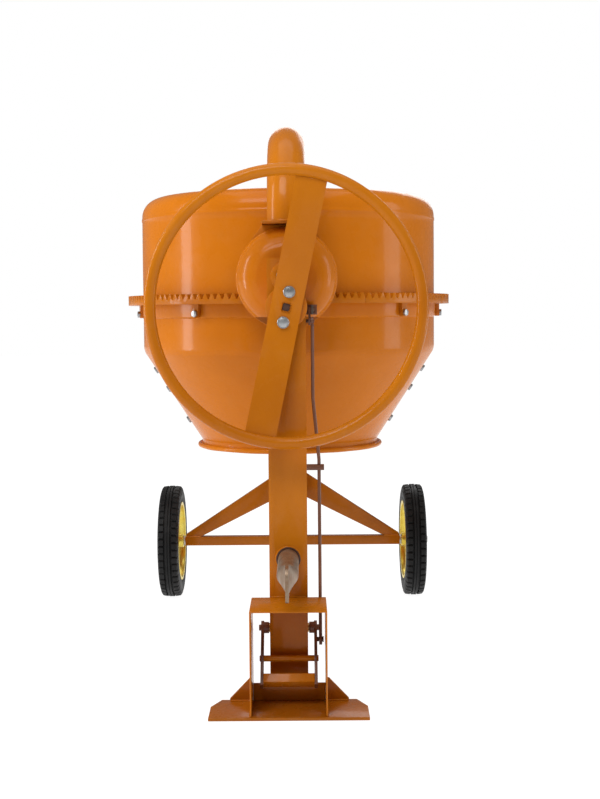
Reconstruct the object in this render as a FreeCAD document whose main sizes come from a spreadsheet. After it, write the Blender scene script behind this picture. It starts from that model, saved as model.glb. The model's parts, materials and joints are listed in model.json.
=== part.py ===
import FreeCAD, Part
import math
import os
import re
import Sketcher
from FreeCAD import Placement, Rotation, Vector

# Towable concrete mixer with an inverting drum, in millimetres. +Z is up and the origin is on
# the ground under the drum's axis. -Y is the operator's side with the handwheel, the foot and
# the tow pipe. +Y is the side with the road wheels and the motor.

doc = FreeCAD.newDocument("ConcreteMixer")
sheet = doc.addObject("Spreadsheet::Sheet", "Sizes")

# ---------------------------------------------------------------- driving dimensions
DRIVING = [
    ("drum_radius", 448, "outside of the drum's cylinder"),
    ("drum_wall", 4, "sheet of head, cone and collar"),
    ("drum_top", 1370, "height of the closed end"),
    ("shoulder_radius", 55, "rounding from head to cylinder"),
    ("cylinder_depth", 460, "head to start of the cone"),
    ("cone_depth", 274, "height of the cone"),
    ("neck_radius", 272, "small end of the cone"),
    ("collar_depth", 24, "straight collar under the cone"),
    ("mouth_bead", 7, "radius of the rolled mouth rim"),
    ("seam_drop", 340, "head to the seam of the two shells"),
    ("lap_height", 18, "how far the seam band laps each shell"),
    ("gear_module", 6.5, "cast drum gear and its pinion"),
    ("ring_gap", 2, "drum wall to the gear's bore"),
    ("ring_flange", 14, "thickness of the gear's plate"),
    ("ring_segments", 9, "cast segments of the drum gear"),
    ("pinion_teeth", 14, "drive pinion"),
    ("pinion_face", 30, "length of the pinion's teeth"),
    ("drive_shaft_radius", 15, "pinion shaft"),
    ("tilt_module", 4, "tilting gear pair"),
    ("tilt_teeth", 28, "gear on the yoke's trunnion"),
    ("hand_teeth", 12, "pinion on the handwheel's shaft"),
    ("tilt_face", 20, "face width of the tilting gears"),
    ("disc_radius", 137, "brake disc at each end of the yoke"),
    ("disc_wall", 12, "thickness of that disc"),
    ("disc_gap", 25, "drum gear to disc"),
    ("tube_radius", 51, "outside of the yoke tube"),
    ("tube_wall", 5, "wall of the yoke tube"),
    ("tube_bend", 220, "bend radius of the yoke's centre line"),
    ("bearing_rise", 71, "drum head to the underside of the yoke"),
    ("seat_wall", 6, "plate that closes the yoke tube's end"),
    ("leg_clearance", 4, "yoke tube to column"),
    ("trunnion_radius", 25, "front trunnion"),
    ("hollow_radius", 30, "rear trunnion, outside"),
    ("hollow_bore", 20, "rear trunnion, inside"),
    ("running", 0.09, "radial clearance of a turning fit"),
    ("weld_gap", 0.1, "clearance round a part set in a hole"),
    ("sleeve_wall", 12, "wall of the bearing sleeves"),
    ("column_width", 100, "box column, across"),
    ("column_deep", 60, "box column, fore and aft"),
    ("column_wall", 4, "sheet of the box columns"),
    ("column_rise", 48, "tilt axis to the column's top"),
    ("wheel_radius", 200, "tyre"),
    ("tyre_width", 72, "tyre"),
    ("tyre_height", 65, "rim to tread"),
    ("wheel_track", 872, "between the two wheels' middles"),
    ("stub_radius", 12.5, "axle ends"),
    ("beam_size", 32, "square axle tube"),
    ("axle_offset", 22, "column's inner face to the axle"),
    ("backbone_height", 378, "middle of the backbone tube"),
    ("backbone_wall", 5, "wall of the backbone tube"),
    ("backbone_play", 3, "tow pipe to the backbone's bore"),
    ("pipe_radius", 27, "tow pipe"),
    ("pipe_wall", 4, "tow pipe"),
    ("tow_reach", 352, "column to the tip of the tow pipe"),
    ("pipe_tail", 440, "length of tow pipe kept in the backbone"),
    ("eye_radius", 10, "hole in the tow pipe's flat tip"),
    ("foot_width", 407, "foot plate, across"),
    ("foot_deep", 158, "foot plate beside the column, fore and aft"),
    ("foot_wall", 8, "foot plate"),
    ("guard_side", 48, "column's side to the guard's outside"),
    ("guard_height", 277, "top of the pedal guard"),
    ("guard_reach", 165, "pedal guard in front of the column"),
    ("guard_wall", 4, "sheet of the pedal guard"),
    ("ring_reach", 362, "outside of the handwheel"),
    ("ring_tube", 16, "radius of the handwheel's tube"),
    ("ring_offset", 82, "column to the plane of the handwheel"),
    ("bar_width", 80, "flat bar across the handwheel"),
    ("bar_wall", 8, "same bar"),
    ("bar_lean", 11.8, "lean of the bar, degrees"),
    ("bar_flat", 108, "straight middle of the bar"),
    ("square_side", 22, "square end of the handwheel's shaft"),
    ("pulley_radius", 160, "driven pulley"),
    ("motor_pulley_radius", 40, "motor pulley"),
    ("motor_drop", 376, "tilt axis to the motor's shaft"),
    ("motor_radius", 78, "motor body"),
    ("motor_length", 200, "motor body"),
    ("hood_width", 400, "motor hood"),
    ("hood_top", 184, "tilt axis to the hood's top"),
    ("hood_height", 700, "motor hood"),
    ("hood_reach", 352, "column to the back of the hood"),
    ("hood_wall", 3, "sheet of the hood"),
]

DERIVED = [
    ("seam_z", "drum_top - seam_drop"),
    ("belt_z", "drum_top - cylinder_depth"),
    ("neck_z", "belt_z - cone_depth"),
    ("mouth_z", "neck_z - collar_depth"),
    ("ring_seat", "seam_z + lap_height"),
    ("ring_bore", "drum_radius + ring_gap"),
    ("ring_teeth", "2 * round((ring_bore + 18) / gear_module)"),
    ("ring_outer", "ring_bore + 43"),
    ("ring_face_z", "ring_seat + ring_flange"),
    ("ring_pitch_z", "ring_face_z + 1.3 * gear_module"),
    ("pinion_pitch", "pinion_teeth * gear_module / 2"),
    ("tilt_z", "ring_pitch_z + pinion_pitch"),
    ("tilt_pitch", "tilt_teeth * tilt_module / 2"),
    ("hand_pitch", "hand_teeth * tilt_module / 2"),
    ("hand_z", "tilt_z - tilt_pitch - hand_pitch"),
    ("shoulder_half", "tube_radius + 14"),
    ("shoulder_far", "sqrt(shoulder_half ^ 2 + (disc_radius + 5) ^ 2)"),
    ("touch_run", "sqrt(shoulder_far ^ 2 - disc_radius ^ 2)"),
    ("touch_x", "disc_radius * (disc_radius * shoulder_half"
                " + (disc_radius + 5) * touch_run) / shoulder_far ^ 2"),
    ("touch_z", "disc_radius * (disc_radius * (disc_radius + 5)"
                " - shoulder_half * touch_run) / shoulder_far ^ 2"),
    ("disc_y", "ring_outer + disc_gap"),
    ("disc_back", "disc_y + disc_wall"),
    ("leg_y", "disc_back + 23"),
    ("column_y", "leg_y + tube_radius + leg_clearance"),
    ("column_out", "column_y + column_deep"),
    ("column_top", "tilt_z + column_rise"),
    ("yoke_under", "drum_top + bearing_rise"),
    ("yoke_z", "yoke_under + tube_radius"),
    ("seat_z", "tilt_z + disc_radius + 5"),
    ("leg_z", "seat_z + seat_wall"),
    ("sleeve_end", "column_out + 4"),
    ("axle_y", "column_y + axle_offset"),
    ("axle_z", "wheel_radius"),
    ("rim_radius", "wheel_radius - tyre_height"),
    ("backbone_radius", "pipe_radius + backbone_play + backbone_wall"),
    ("guard_width", "column_width + 2 * guard_side"),
    ("beam_half", "wheel_track / 2 - tyre_width / 2 - 11"),
    ("motor_z", "tilt_z - motor_drop"),
    ("motor_y", "sleeve_end + 73"),
    ("pulley_y", "sleeve_end + 28"),
    ("ring_y", "column_out + ring_offset"),
    ("bar_y", "column_out + 22"),
    ("hood_z", "tilt_z + hood_top - hood_height"),
    ("plate_y", "column_out + 0.2"),
]

for row, (alias, value, note) in enumerate(DRIVING, start=1):
    sheet.set("A%d" % row, alias)
    sheet.set("B%d" % row, str(value))
    sheet.setAlias("B%d" % row, alias)
    sheet.set("C%d" % row, note)
for row, (alias, formula) in enumerate(DERIVED, start=len(DRIVING) + 2):
    sheet.set("A%d" % row, alias)
    sheet.set("B%d" % row, "=" + formula)
    sheet.setAlias("B%d" % row, alias)
doc.recompute()

NAMES = [entry[0] for entry in DRIVING] + [entry[0] for entry in DERIVED]


def bind_text(formula):
    """A formula in the sheet's own names, written the way an expression refers to the sheet."""
    def refer(word):
        return "Sizes." + word.group(0) if word.group(0) in NAMES else word.group(0)
    return re.sub(r"[a-z_]+", refer, str(formula))


def number(formula):
    """The value that a formula in the sheet's names has now."""
    return float(sheet.evalExpression(bind_text(formula)))


# ---------------------------------------------------------------- building helpers
parts = []


def keep(piece, label):
    """Lists a finished sub-part: its label is the name of its node."""
    piece.Label = label
    parts.append(piece)
    return piece


def bind(piece, **formulas):
    for prop, formula in formulas.items():
        piece.setExpression(prop, bind_text(formula))
    return piece


def place(piece, px=0, py=0, pz=0):
    for axis, formula in (("x", px), ("y", py), ("z", pz)):
        piece.setExpression("Placement.Base." + axis, bind_text(formula))
    return piece


def box(name, span_x, span_y, span_z):
    """A Part::Box between two formulas on each axis."""
    piece = doc.addObject("Part::Box", name)
    spans = (span_x, span_y, span_z)
    for prop, (low, high) in zip(("Length", "Width", "Height"), spans):
        piece.setExpression(prop, bind_text("(%s) - (%s)" % (high, low)))
    return place(piece, span_x[0], span_y[0], span_z[0])


TURNS = {"X": Rotation(Vector(0, 1, 0), 90), "Y": Rotation(Vector(1, 0, 0), -90), "Z": Rotation()}


def cylinder(name, axis, radius, span, px=0, py=0, pz=0):
    """A Part::Cylinder along one axis between two formulas; the other two give its centre line."""
    piece = doc.addObject("Part::Cylinder", name)
    piece.Placement = Placement(Vector(), TURNS[axis])
    bind(piece, Radius=radius, Height="(%s) - (%s)" % (span[1], span[0]))
    centre = {"X": (span[0], py, pz), "Y": (px, span[0], pz), "Z": (px, py, span[0])}[axis]
    return place(piece, *centre)


def cut(name, base, *tools):
    if len(tools) > 1:
        tool = doc.addObject("Part::MultiFuse", name + "_tools")
        tool.Shapes = list(tools)
    else:
        tool = tools[0]
    piece = doc.addObject("Part::Cut", name)
    piece.Base = base
    piece.Tool = tool
    return piece


def fuse(name, *pieces):
    piece = doc.addObject("Part::MultiFuse", name)
    piece.Shapes = list(pieces)
    return piece


def group(name, *pieces):
    """Separate solids that share one node."""
    piece = doc.addObject("Part::Compound", name)
    piece.Links = list(pieces)
    return piece


def tube(name, axis, radius, bore, span, px=0, py=0, pz=0):
    outer = cylinder(name + "_outer", axis, radius, span, px, py, pz)
    inner = cylinder(name + "_bore", axis, bore, span, px, py, pz)
    return cut(name, outer, inner)


def arc_between(start, end, radius, side):
    """An arc of a circle from start to end; side +1 turns left on the way and -1 turns right."""
    middle = ((start[0] + end[0]) / 2, (start[1] + end[1]) / 2)
    span = math.dist(start, end)
    rise = math.sqrt(max(radius ** 2 - span ** 2 / 4, 0))
    normal = (-(end[1] - start[1]) / span, (end[0] - start[0]) / span)
    centre = Vector(middle[0] + side * rise * normal[0], middle[1] + side * rise * normal[1], 0)
    first, last = (start, end) if side > 0 else (end, start)
    angles = [math.atan2(point[1] - centre.y, point[0] - centre.x) for point in (first, last)]
    return Part.ArcOfCircle(Part.Circle(centre, Vector(0, 0, 1), radius), *angles)


def fix_at(sketch, edge, end, px, py):
    """Ties one end or the centre of an edge to two formulas."""
    for kind, formula in (("DistanceX", px), ("DistanceY", py)):
        rule = Sketcher.Constraint(kind, -1, 1, edge, end, number(formula))
        sketch.setExpression("Constraints[%d]" % sketch.addConstraint(rule), bind_text(formula))


def fix_radius(sketch, edge, radius):
    rule = Sketcher.Constraint("Radius", edge, number(radius))
    sketch.setExpression("Constraints[%d]" % sketch.addConstraint(rule), bind_text(radius))


def draw(sketch, corners, closed=True):
    """An outline in a sketch, every corner bound to the sheet. A corner with four entries is
    reached along an arc: its radius and the side that the arc's centre lies on."""
    values = [(number(corner[0]), number(corner[1])) for corner in corners]
    skip = 0 if closed else 1
    ends = []
    for index, corner in list(enumerate(corners))[skip:]:
        start = values[index - 1]
        end = values[index]
        if len(corner) == 2:
            edge = Part.LineSegment(Vector(*start, 0), Vector(*end, 0))
            ends.append((1, 2))
        else:
            edge = arc_between(start, end, number(corner[2]), corner[3])
            ends.append((1, 2) if corner[3] > 0 else (2, 1))
        sketch.addGeometry(edge, False)
    count = len(ends)
    for edge in range(count):
        corner = corners[edge + skip]
        if closed or edge < count - 1:
            after = (edge + 1) % count
            sketch.addConstraint(Sketcher.Constraint("Coincident", edge, ends[edge][1],
                                                     after, ends[after][0]))
        fix_at(sketch, edge, ends[edge][1], corner[0], corner[1])
        if len(corner) == 4:
            fix_radius(sketch, edge, corner[2])
    if not closed:
        fix_at(sketch, 0, ends[0][0], corners[0][0], corners[0][1])


def drill(sketch, px, py, radius):
    """A round hole in a sketch."""
    circle = Part.Circle(Vector(number(px), number(py), 0), Vector(0, 0, 1), number(radius))
    edge = sketch.addGeometry(circle, False)
    fix_at(sketch, edge, 3, px, py)
    fix_radius(sketch, edge, radius)


def sketch_in(body, role, outline, holes=(), closed=True):
    """A sketch on one of the body's own origin planes."""
    plane = next(item for item in body.Origin.OriginFeatures if item.Role == role)
    sketch = body.newObject("Sketcher::SketchObject", body.Name + "_sketch")
    sketch.AttachmentSupport = (plane, [""])
    sketch.MapMode = "FlatFace"
    if outline:
        draw(sketch, outline, closed)
    for hole in holes:
        drill(sketch, *hole)
    return sketch


def padded(name, role, outline, depth, holes=()):
    """A plate: an outline padded to both sides of its plane."""
    body = doc.addObject("PartDesign::Body", name)
    sketch = sketch_in(body, role, outline, holes)
    pad = body.newObject("PartDesign::Pad", name + "_pad")
    pad.Profile = sketch
    pad.SideType = "Symmetric"
    pad.setExpression("Length", bind_text(depth))
    sketch.Visibility = False
    return body


def revolved(name, role, outline, axis):
    """A turned piece: an outline swept round one of its sketch's axes."""
    body = doc.addObject("PartDesign::Body", name)
    sketch = sketch_in(body, role, outline)
    turn = body.newObject("PartDesign::Revolution", name + "_turn")
    turn.Profile = sketch
    turn.ReferenceAxis = (sketch, [axis])
    turn.Angle = 360
    return body


def feature(name, shape, px=0, py=0, pz=0):
    """A shape made directly; its Placement is set after the shape."""
    piece = doc.addObject("Part::Feature", name)
    own = shape.Placement
    piece.Shape = shape
    piece.Placement = Placement(Vector(px, py, pz), Rotation()).multiply(own)
    return piece


def involute(base, radius):
    """The angle that an involute has turned through where it crosses a radius."""
    lean = math.acos(base / radius)
    return math.tan(lean) - lean


def gear_outline(teeth, module, play, phase):
    """The closed outline of a spur gear round the origin, with involute flanks thinned by play."""
    pitch = teeth * module / 2
    base = pitch * math.cos(math.radians(20))
    tip = pitch + 0.95 * module
    root = pitch - 1.2 * module
    half = math.pi / 2 / teeth - play / 2 / pitch
    corners = []
    for tooth in range(teeth):
        middle = phase + 2 * math.pi * tooth / teeth
        flank = []
        steps = 6
        start = max(base, root)
        for step in range(steps + 1):
            radius = start + (tip - start) * step / steps
            flank.append((radius, half + involute(base, pitch) - involute(base, radius)))
        points = [(root, flank[0][1])] if root < start else []
        points += flank
        for radius, angle in points:
            corners.append(Vector(radius * math.cos(middle - angle),
                                  radius * math.sin(middle - angle), 0))
        for radius, angle in reversed(points):
            corners.append(Vector(radius * math.cos(middle + angle),
                                  radius * math.sin(middle + angle), 0))
    corners.append(corners[0])
    return Part.makePolygon(corners)


def spur_gear(teeth, module, play, phase, face, bore):
    """A spur gear round Y from y = 0 to y = face; phase is a tooth's angle from +X to +Z."""
    blank = Part.Face(gear_outline(teeth, module, play, phase)).extrude(Vector(0, 0, face))
    hole = Part.makeCylinder(bore, face)
    gear = blank.cut(hole)
    gear.rotate(Vector(), Vector(1, 0, 0), 90)
    gear.translate(Vector(0, face, 0))
    return gear


def hex_head(across, height, at, direction):
    """A hexagonal head with its base at a point."""
    points = [Vector(across / math.sqrt(3) * math.cos(math.radians(60 * k)),
                     across / math.sqrt(3) * math.sin(math.radians(60 * k)), 0) for k in range(7)]
    head = Part.Face(Part.makePolygon(points)).extrude(Vector(0, 0, height))
    turn = Rotation(Vector(0, 0, 1), direction)
    head.Placement = Placement(at, turn)
    return head


def screw(radius, length, across, height, at, direction):
    """A bolt whose head stands out along direction from the point where it is seated."""
    shank = Part.makeCylinder(radius, length + height / 2, at - direction * length, direction)
    return hex_head(across, height, at, direction).fuse(shank)

# ---------------------------------------------------------------- drum
SLOPE = "sqrt((drum_radius - neck_radius)^2 + cone_depth^2)"
BLADE_DROPS = (59, 118, 214)
FLANGE_BOLTS = 6


def ring_places():
    """Angles from +X of the drum gear's lugs, one in the middle of each segment."""
    count = int(number("ring_segments"))
    return [math.radians(-84 + 360 * index / count) for index in range(count)]


def cone_point(drop):
    """Radius and height of the cone's outside, drop below its wide end."""
    fall = number("drum_radius - neck_radius") / number("cone_depth")
    return number("drum_radius") - fall * drop, number("belt_z") - drop


def cone_normal():
    run = number("drum_radius - neck_radius")
    length = number(SLOPE)
    return Vector(number("cone_depth") / length, 0, -run / length)


def blade_places():
    """Seat point on the cone's outside and outward direction of each blade bolt."""
    places = []
    for side in (1, -1):
        out = cone_normal()
        for drop in BLADE_DROPS:
            radius, height = cone_point(drop)
            places.append((Vector(side * radius, 0, height), Vector(side * out.x, 0, out.z)))
    return places


def spread(count, radius, start=0):
    """Points on a circle round the drum's axis."""
    angles = [start + 2 * math.pi * index / count for index in range(count)]
    return [(radius * math.cos(angle), radius * math.sin(angle)) for angle in angles]


head_turn = revolved("head_turned", "XZ_Plane", [
    ("0", "drum_top - drum_wall"),
    ("drum_radius - shoulder_radius", "drum_top - drum_wall"),
    ("drum_radius - drum_wall", "drum_top - shoulder_radius", "shoulder_radius - drum_wall", -1),
    ("drum_radius - drum_wall", "seam_z"),
    ("drum_radius", "seam_z"),
    ("drum_radius", "drum_top - shoulder_radius - 16"),
    ("drum_radius", "drum_top - shoulder_radius - 4", "7.5", 1),
    ("drum_radius", "drum_top - shoulder_radius"),
    ("drum_radius - shoulder_radius", "drum_top", "shoulder_radius", 1),
    ("0", "drum_top"),
], "V_Axis")
doc.recompute()
HUB_BOLT_RING = 68
LUG_DEEP = 12
LUG_BOLT_R = 5
FLANGE_BOLT_R = 6
head_holes = feature("head_bolt_holes", Part.makeCompound([
    Part.makeCylinder(FLANGE_BOLT_R + number("weld_gap"), 40, Vector(px, py, number("drum_top") - 20))
    for px, py in spread(FLANGE_BOLTS, HUB_BOLT_RING)]))
keep(cut("head_shell", head_turn, head_holes), "drum_head_shell")

cone_turn = revolved("cone_turned", "XZ_Plane", [
    ("neck_radius - drum_wall", "mouth_z"),
    ("neck_radius", "mouth_z"),
    ("neck_radius", "neck_z"),
    ("drum_radius", "belt_z"),
    ("drum_radius", "seam_z - lap_height"),
    ("drum_radius + drum_wall", "seam_z - lap_height"),
    ("drum_radius + drum_wall", "ring_seat"),
    ("drum_radius + 0.3", "ring_seat"),
    ("drum_radius + 0.3", "seam_z"),
    ("drum_radius - drum_wall", "seam_z"),
    ("drum_radius - drum_wall", "belt_z + drum_wall / 3"),
    ("neck_radius - drum_wall", "neck_z + drum_wall / 3"),
], "V_Axis")
lug_z = number("seam_z - lap_height / 2")
cone_holes = [Part.makeCylinder(LUG_BOLT_R + number("weld_gap"), 60,
                                Vector(math.cos(a), math.sin(a), 0) * (number("drum_radius") - 30)
                                + Vector(0, 0, lug_z), Vector(math.cos(a), math.sin(a), 0))
              for a in ring_places()]
cone_holes += [Part.makeCylinder(FLANGE_BOLT_R + number("weld_gap"), 30, seat - out * 20, out)
               for seat, out in blade_places()]
keep(cut("cone_shell", cone_turn, feature("cone_bolt_holes", Part.makeCompound(cone_holes))),
     "drum_cone_shell")

rim = doc.addObject("Part::Torus", "rim")
bind(rim, Radius1="neck_radius + mouth_bead + weld_gap", Radius2="mouth_bead")
keep(place(rim, 0, 0, "mouth_z + mouth_bead"), "mouth_ring")


def ring_gear():
    """The cast drum gear: segments with radial teeth on top and a lug under each middle."""
    bore, outer, seat = number("ring_bore"), number("ring_outer"), number("ring_seat")
    face_z, pitch_z = number("ring_face_z"), number("ring_pitch_z")
    teeth, module = int(number("ring_teeth")), number("gear_module")
    top = pitch_z + 0.9 * module
    space = math.pi * module / 2 + 0.9
    lean = math.tan(math.radians(20))
    low = space / 2 - (pitch_z - face_z) * lean
    high = space / 2 + (top + 1 - pitch_z) * lean
    gap = Part.Face(Part.makePolygon([
        Vector(bore - 5, -low, face_z), Vector(bore - 5, low, face_z),
        Vector(bore - 5, high, top + 1), Vector(bore - 5, -high, top + 1),
        Vector(bore - 5, -low, face_z)])).extrude(Vector(outer - bore + 10, 0, 0))
    pitch = 360 / teeth
    segments = []
    lug_wide = 22
    for lug in ring_places():
        middle = math.degrees(lug)
        span = 360 / int(number("ring_segments")) - 0.1
        body = Part.makeCylinder(outer, top - seat, Vector(0, 0, seat), Vector(0, 0, 1), span)
        body = body.cut(Part.makeCylinder(bore, top - seat, Vector(0, 0, seat)))
        body.rotate(Vector(), Vector(0, 0, 1), middle - span / 2)
        gaps = []
        first = math.floor((middle - span / 2) / pitch) - 1
        for index in range(first, first + int(span / pitch) + 4):
            tool = gap.copy()
            tool.rotate(Vector(), Vector(0, 0, 1), (index + 0.5) * pitch)
            gaps.append(tool)
        body = body.cut(gaps)
        start = number("drum_radius + drum_wall") + 0.2
        plate = Part.makeBox(LUG_DEEP, lug_wide, seat - lug_z, Vector(start, -lug_wide / 2, lug_z))
        end = Part.makeCylinder(lug_wide / 2, LUG_DEEP, Vector(start, 0, lug_z), Vector(1, 0, 0))
        hole = Part.makeCylinder(LUG_BOLT_R + number("weld_gap"), 60, Vector(start - 20, 0, lug_z),
                                 Vector(1, 0, 0))
        lug_shape = plate.fuse(end).cut(hole)
        lug_shape.rotate(Vector(), Vector(0, 0, 1), middle)
        segments.append(body.fuse(lug_shape).removeSplitter())
    return Part.makeCompound(segments)


keep(feature("ring_segments_cast", ring_gear()), "ring_gear")

lug_bolts = []
for angle in ring_places():
    out = Vector(math.cos(angle), math.sin(angle), 0)
    seat = out * (number("drum_radius + drum_wall") + LUG_DEEP + 0.3) + Vector(0, 0, lug_z)
    bolt = screw(LUG_BOLT_R, 32, 17, 7, seat, out)
    nut = hex_head(17, 7, out * (number("drum_radius - drum_wall") - 7.4) + Vector(0, 0, lug_z), out)
    lug_bolts.append(bolt.fuse(nut))

spindle_turn = revolved("spindle_turned", "XZ_Plane", [
    ("0", "drum_top + 0.1"),
    ("90", "drum_top + 0.1"),
    ("90", "drum_top + 10"),
    ("40", "drum_top + 10"),
    ("34", "drum_top + 16"),
    ("trunnion_radius", "drum_top + 16"),
    ("trunnion_radius", "yoke_under - 6"),
    ("0", "yoke_under - 6"),
], "V_Axis")
keep(cut("spindle", spindle_turn, feature("spindle_bolt_holes", head_holes.Shape.copy())),
     "drum_spindle")
hub_bolts = []
for px, py in spread(FLANGE_BOLTS, HUB_BOLT_RING):
    seat = Vector(px, py, number("drum_top") + 10.2)
    nut = hex_head(19, 9, Vector(px, py, number("drum_top - drum_wall") - 9.2), Vector(0, 0, 1))
    hub_bolts.append(screw(FLANGE_BOLT_R, 24, 19, 8, seat, Vector(0, 0, 1)).fuse(nut))

FALL = "(drum_radius - neck_radius) / cone_depth"


def blade(name, side):
    """A mixing blade in a radial plane: its outer edge follows the wall on three feet."""
    wall = "(drum_radius - drum_wall - (%s) * (%s) - %s)"
    edge = [("(%d) * " % side + wall % (FALL, drop, 14), "belt_z - %d" % drop)
            for drop in (20, 240)]
    inner = [("(%d) * " % side + wall % (FALL, drop, 130), "belt_z - %d" % drop)
             for drop in (200, 0)]
    top = [("(%d) * (drum_radius - drum_wall - 95)" % side, "belt_z + 190"),
           ("(%d) * (drum_radius - drum_wall - 14)" % side, "belt_z + 230"),
           ("(%d) * (drum_radius - drum_wall - 14)" % side, "belt_z + 10")]
    sheet_plate = padded(name + "_plate", "XZ_Plane", edge + inner + top, 6)
    feet = []
    for foot, drop in enumerate(BLADE_DROPS):
        seat, out = blade_places()[foot if side > 0 else foot + len(BLADE_DROPS)]
        inset = number("drum_wall") + 1.2
        block = Part.makeBox(30, 44, 18, Vector(-15, -22, -18))
        block.Placement = Placement(seat - out * inset, Rotation(Vector(0, 0, 1), out))
        hole = Part.makeCylinder(FLANGE_BOLT_R + number("weld_gap"), 60, seat - out * 50, out)
        feet.append(feature("%s_foot_%d" % (name, foot), block.cut(hole)))
    plate_holes = feature(name + "_clear", Part.makeCompound([
        Part.makeCylinder(13, 40, seat - out * 47, out) for seat, out in blade_places()]))
    return fuse(name, cut(name + "_cut", sheet_plate, plate_holes), *feet)


keep(group("blade_pair", blade("blade_one", 1), blade("blade_two", -1)), "mixing_blades")
blade_bolts = [screw(FLANGE_BOLT_R, 32, 19, 8, seat + out * 0.2, out) for seat, out in blade_places()]
keep(feature("drum_bolt_set", Part.makeCompound(lug_bolts + hub_bolts + blade_bolts)),
     "drum_bolts")

# ---------------------------------------------------------------- yoke
yoke = doc.addObject("PartDesign::Body", "yoke_pipe")
spine = sketch_in(yoke, "YZ_Plane", [
    ("-leg_y", "leg_z"),
    ("-leg_y", "yoke_z - tube_bend"),
    ("-leg_y + tube_bend", "yoke_z", "tube_bend", -1),
    ("leg_y - tube_bend", "yoke_z"),
    ("leg_y", "yoke_z - tube_bend", "tube_bend", -1),
    ("leg_y", "leg_z"),
], closed=False)
section = sketch_in(yoke, "XY_Plane", None, [
    ("0", "-leg_y", "tube_radius"),
    ("0", "-leg_y", "tube_radius - tube_wall"),
])
section.setExpression("AttachmentOffset.Base.z", bind_text("leg_z"))
pipe = yoke.newObject("PartDesign::AdditivePipe", "yoke_sweep")
pipe.Profile = section
pipe.Spine = (spine, ["Edge%d" % (index + 1) for index in range(5)])
keep(yoke, "yoke_tube")

for side, name in ((-1, "front"), (1, "rear")):
    radius = "trunnion_radius" if side < 0 else "hollow_radius"
    plate = padded("disc_" + name, "XZ_Plane", [
        ("-shoulder_half", "disc_radius + 5"),
        ("-touch_x", "touch_z"),
        ("0", "-disc_radius", "disc_radius", 1),
        ("touch_x", "touch_z", "disc_radius", 1),
        ("shoulder_half", "disc_radius + 5"),
    ], "disc_wall", [("0", "0", radius + " + weld_gap")])
    place(plate, 0, "(%d) * (disc_y + disc_wall / 2)" % side, "tilt_z")
    low, high = ("-leg_y - tube_radius", "-disc_y") if side < 0 else ("disc_y", "leg_y + tube_radius")
    seat = box("seat_" + name, ("-shoulder_half", "shoulder_half"), (low, high),
               ("seat_z", "leg_z"))
    keep(group("end_" + name, plate, seat), "yoke_end_plate_" + name)

housing = cylinder("housing", "Z", "55", ("drum_top + 20", "yoke_under + 12"))
saddle = cylinder("housing_saddle", "Y", "tube_radius + weld_gap", ("-80", "80"), pz="yoke_z")
spindle_bore = cylinder("housing_bore", "Z", "trunnion_radius + running",
                        ("drum_top + 10", "yoke_under - 4"))
keep(cut("housing_bored", housing, saddle, spindle_bore), "drum_bearing_housing")

keep(cylinder("trunnion_bar", "Y", "trunnion_radius", ("-sleeve_end - 4", "-disc_y"), pz="tilt_z"),
     "front_trunnion")
keep(tube("trunnion_pipe", "Y", "hollow_radius", "hollow_bore", ("disc_y", "sleeve_end + 4"),
          pz="tilt_z"), "rear_trunnion")
bushes = [tube("bush_inner", "Y", "hollow_bore - weld_gap", "drive_shaft_radius + running",
               ("disc_y", "disc_y + 30"), pz="tilt_z"),
          tube("bush_outer", "Y", "hollow_bore - weld_gap", "drive_shaft_radius + running",
               ("sleeve_end - 26", "sleeve_end + 4"), pz="tilt_z")]
keep(group("bush_pair", *bushes), "pinion_shaft_bushes")

tilt_blank = spur_gear(int(number("tilt_teeth")), number("tilt_module"), 0.7, 0,
                       number("tilt_face"), number("trunnion_radius + weld_gap"))
keep(feature("tilt_blank", tilt_blank, 0, -number("disc_back + 2 + tilt_face"), number("tilt_z")),
     "tilt_gear")

# ---------------------------------------------------------------- drum drive
pinion_phase = math.pi / 2 * 3 + math.pi / int(number("pinion_teeth"))
pinion_blank = spur_gear(int(number("pinion_teeth")), number("gear_module"), 1.6, pinion_phase,
                         number("pinion_face"), number("drive_shaft_radius + weld_gap"))
keep(feature("pinion_blank", pinion_blank, 0, number("ring_bore + 5"), number("tilt_z")),
     "drive_pinion")
keep(cylinder("shaft_bar", "Y", "drive_shaft_radius", ("ring_bore + 3", "pulley_y + 30"),
              pz="tilt_z"), "pinion_shaft")


def pulley(name, radius, hub, bore, holes=()):
    """A turned V-belt pulley round Y: face and hub from y = 0 to y = 22, groove 12 deep."""
    wheel = revolved(name + "_turned", "YZ_Plane", [
        ("0", bore), ("22", bore), ("22", hub), ("16", hub), ("16", "%s - 20" % radius),
        ("22", "%s - 18" % radius), ("22", radius), ("18", radius), ("14", "%s - 12" % radius),
        ("8", "%s - 12" % radius), ("4", radius), ("0", radius), ("0", "%s - 18" % radius),
        ("6", "%s - 20" % radius), ("6", hub), ("0", hub)], "H_Axis")
    if not holes:
        return wheel
    doc.recompute()
    rounds = [Part.makeCylinder(number("pulley_radius") * 0.2, 22,
                                Vector(px, 0, py), Vector(0, 1, 0)) for px, py in holes]
    return cut(name, wheel, feature(name + "_rounds", Part.makeCompound(rounds)))


driven = pulley("driven", "pulley_radius", "32", "drive_shaft_radius + weld_gap",
                spread(5, number("pulley_radius") * 0.54, math.pi / 2))
keep(place(driven, 0, "pulley_y", "tilt_z"), "driven_pulley")
small = pulley("small", "motor_pulley_radius", "17.9", "9.6")
keep(place(small, 0, "pulley_y", "motor_z"), "motor_pulley")
keep(cylinder("motor_spindle", "Y", "9.5", ("pulley_y - 2", "motor_y - 2"), pz="motor_z"),
     "motor_shaft")


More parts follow.
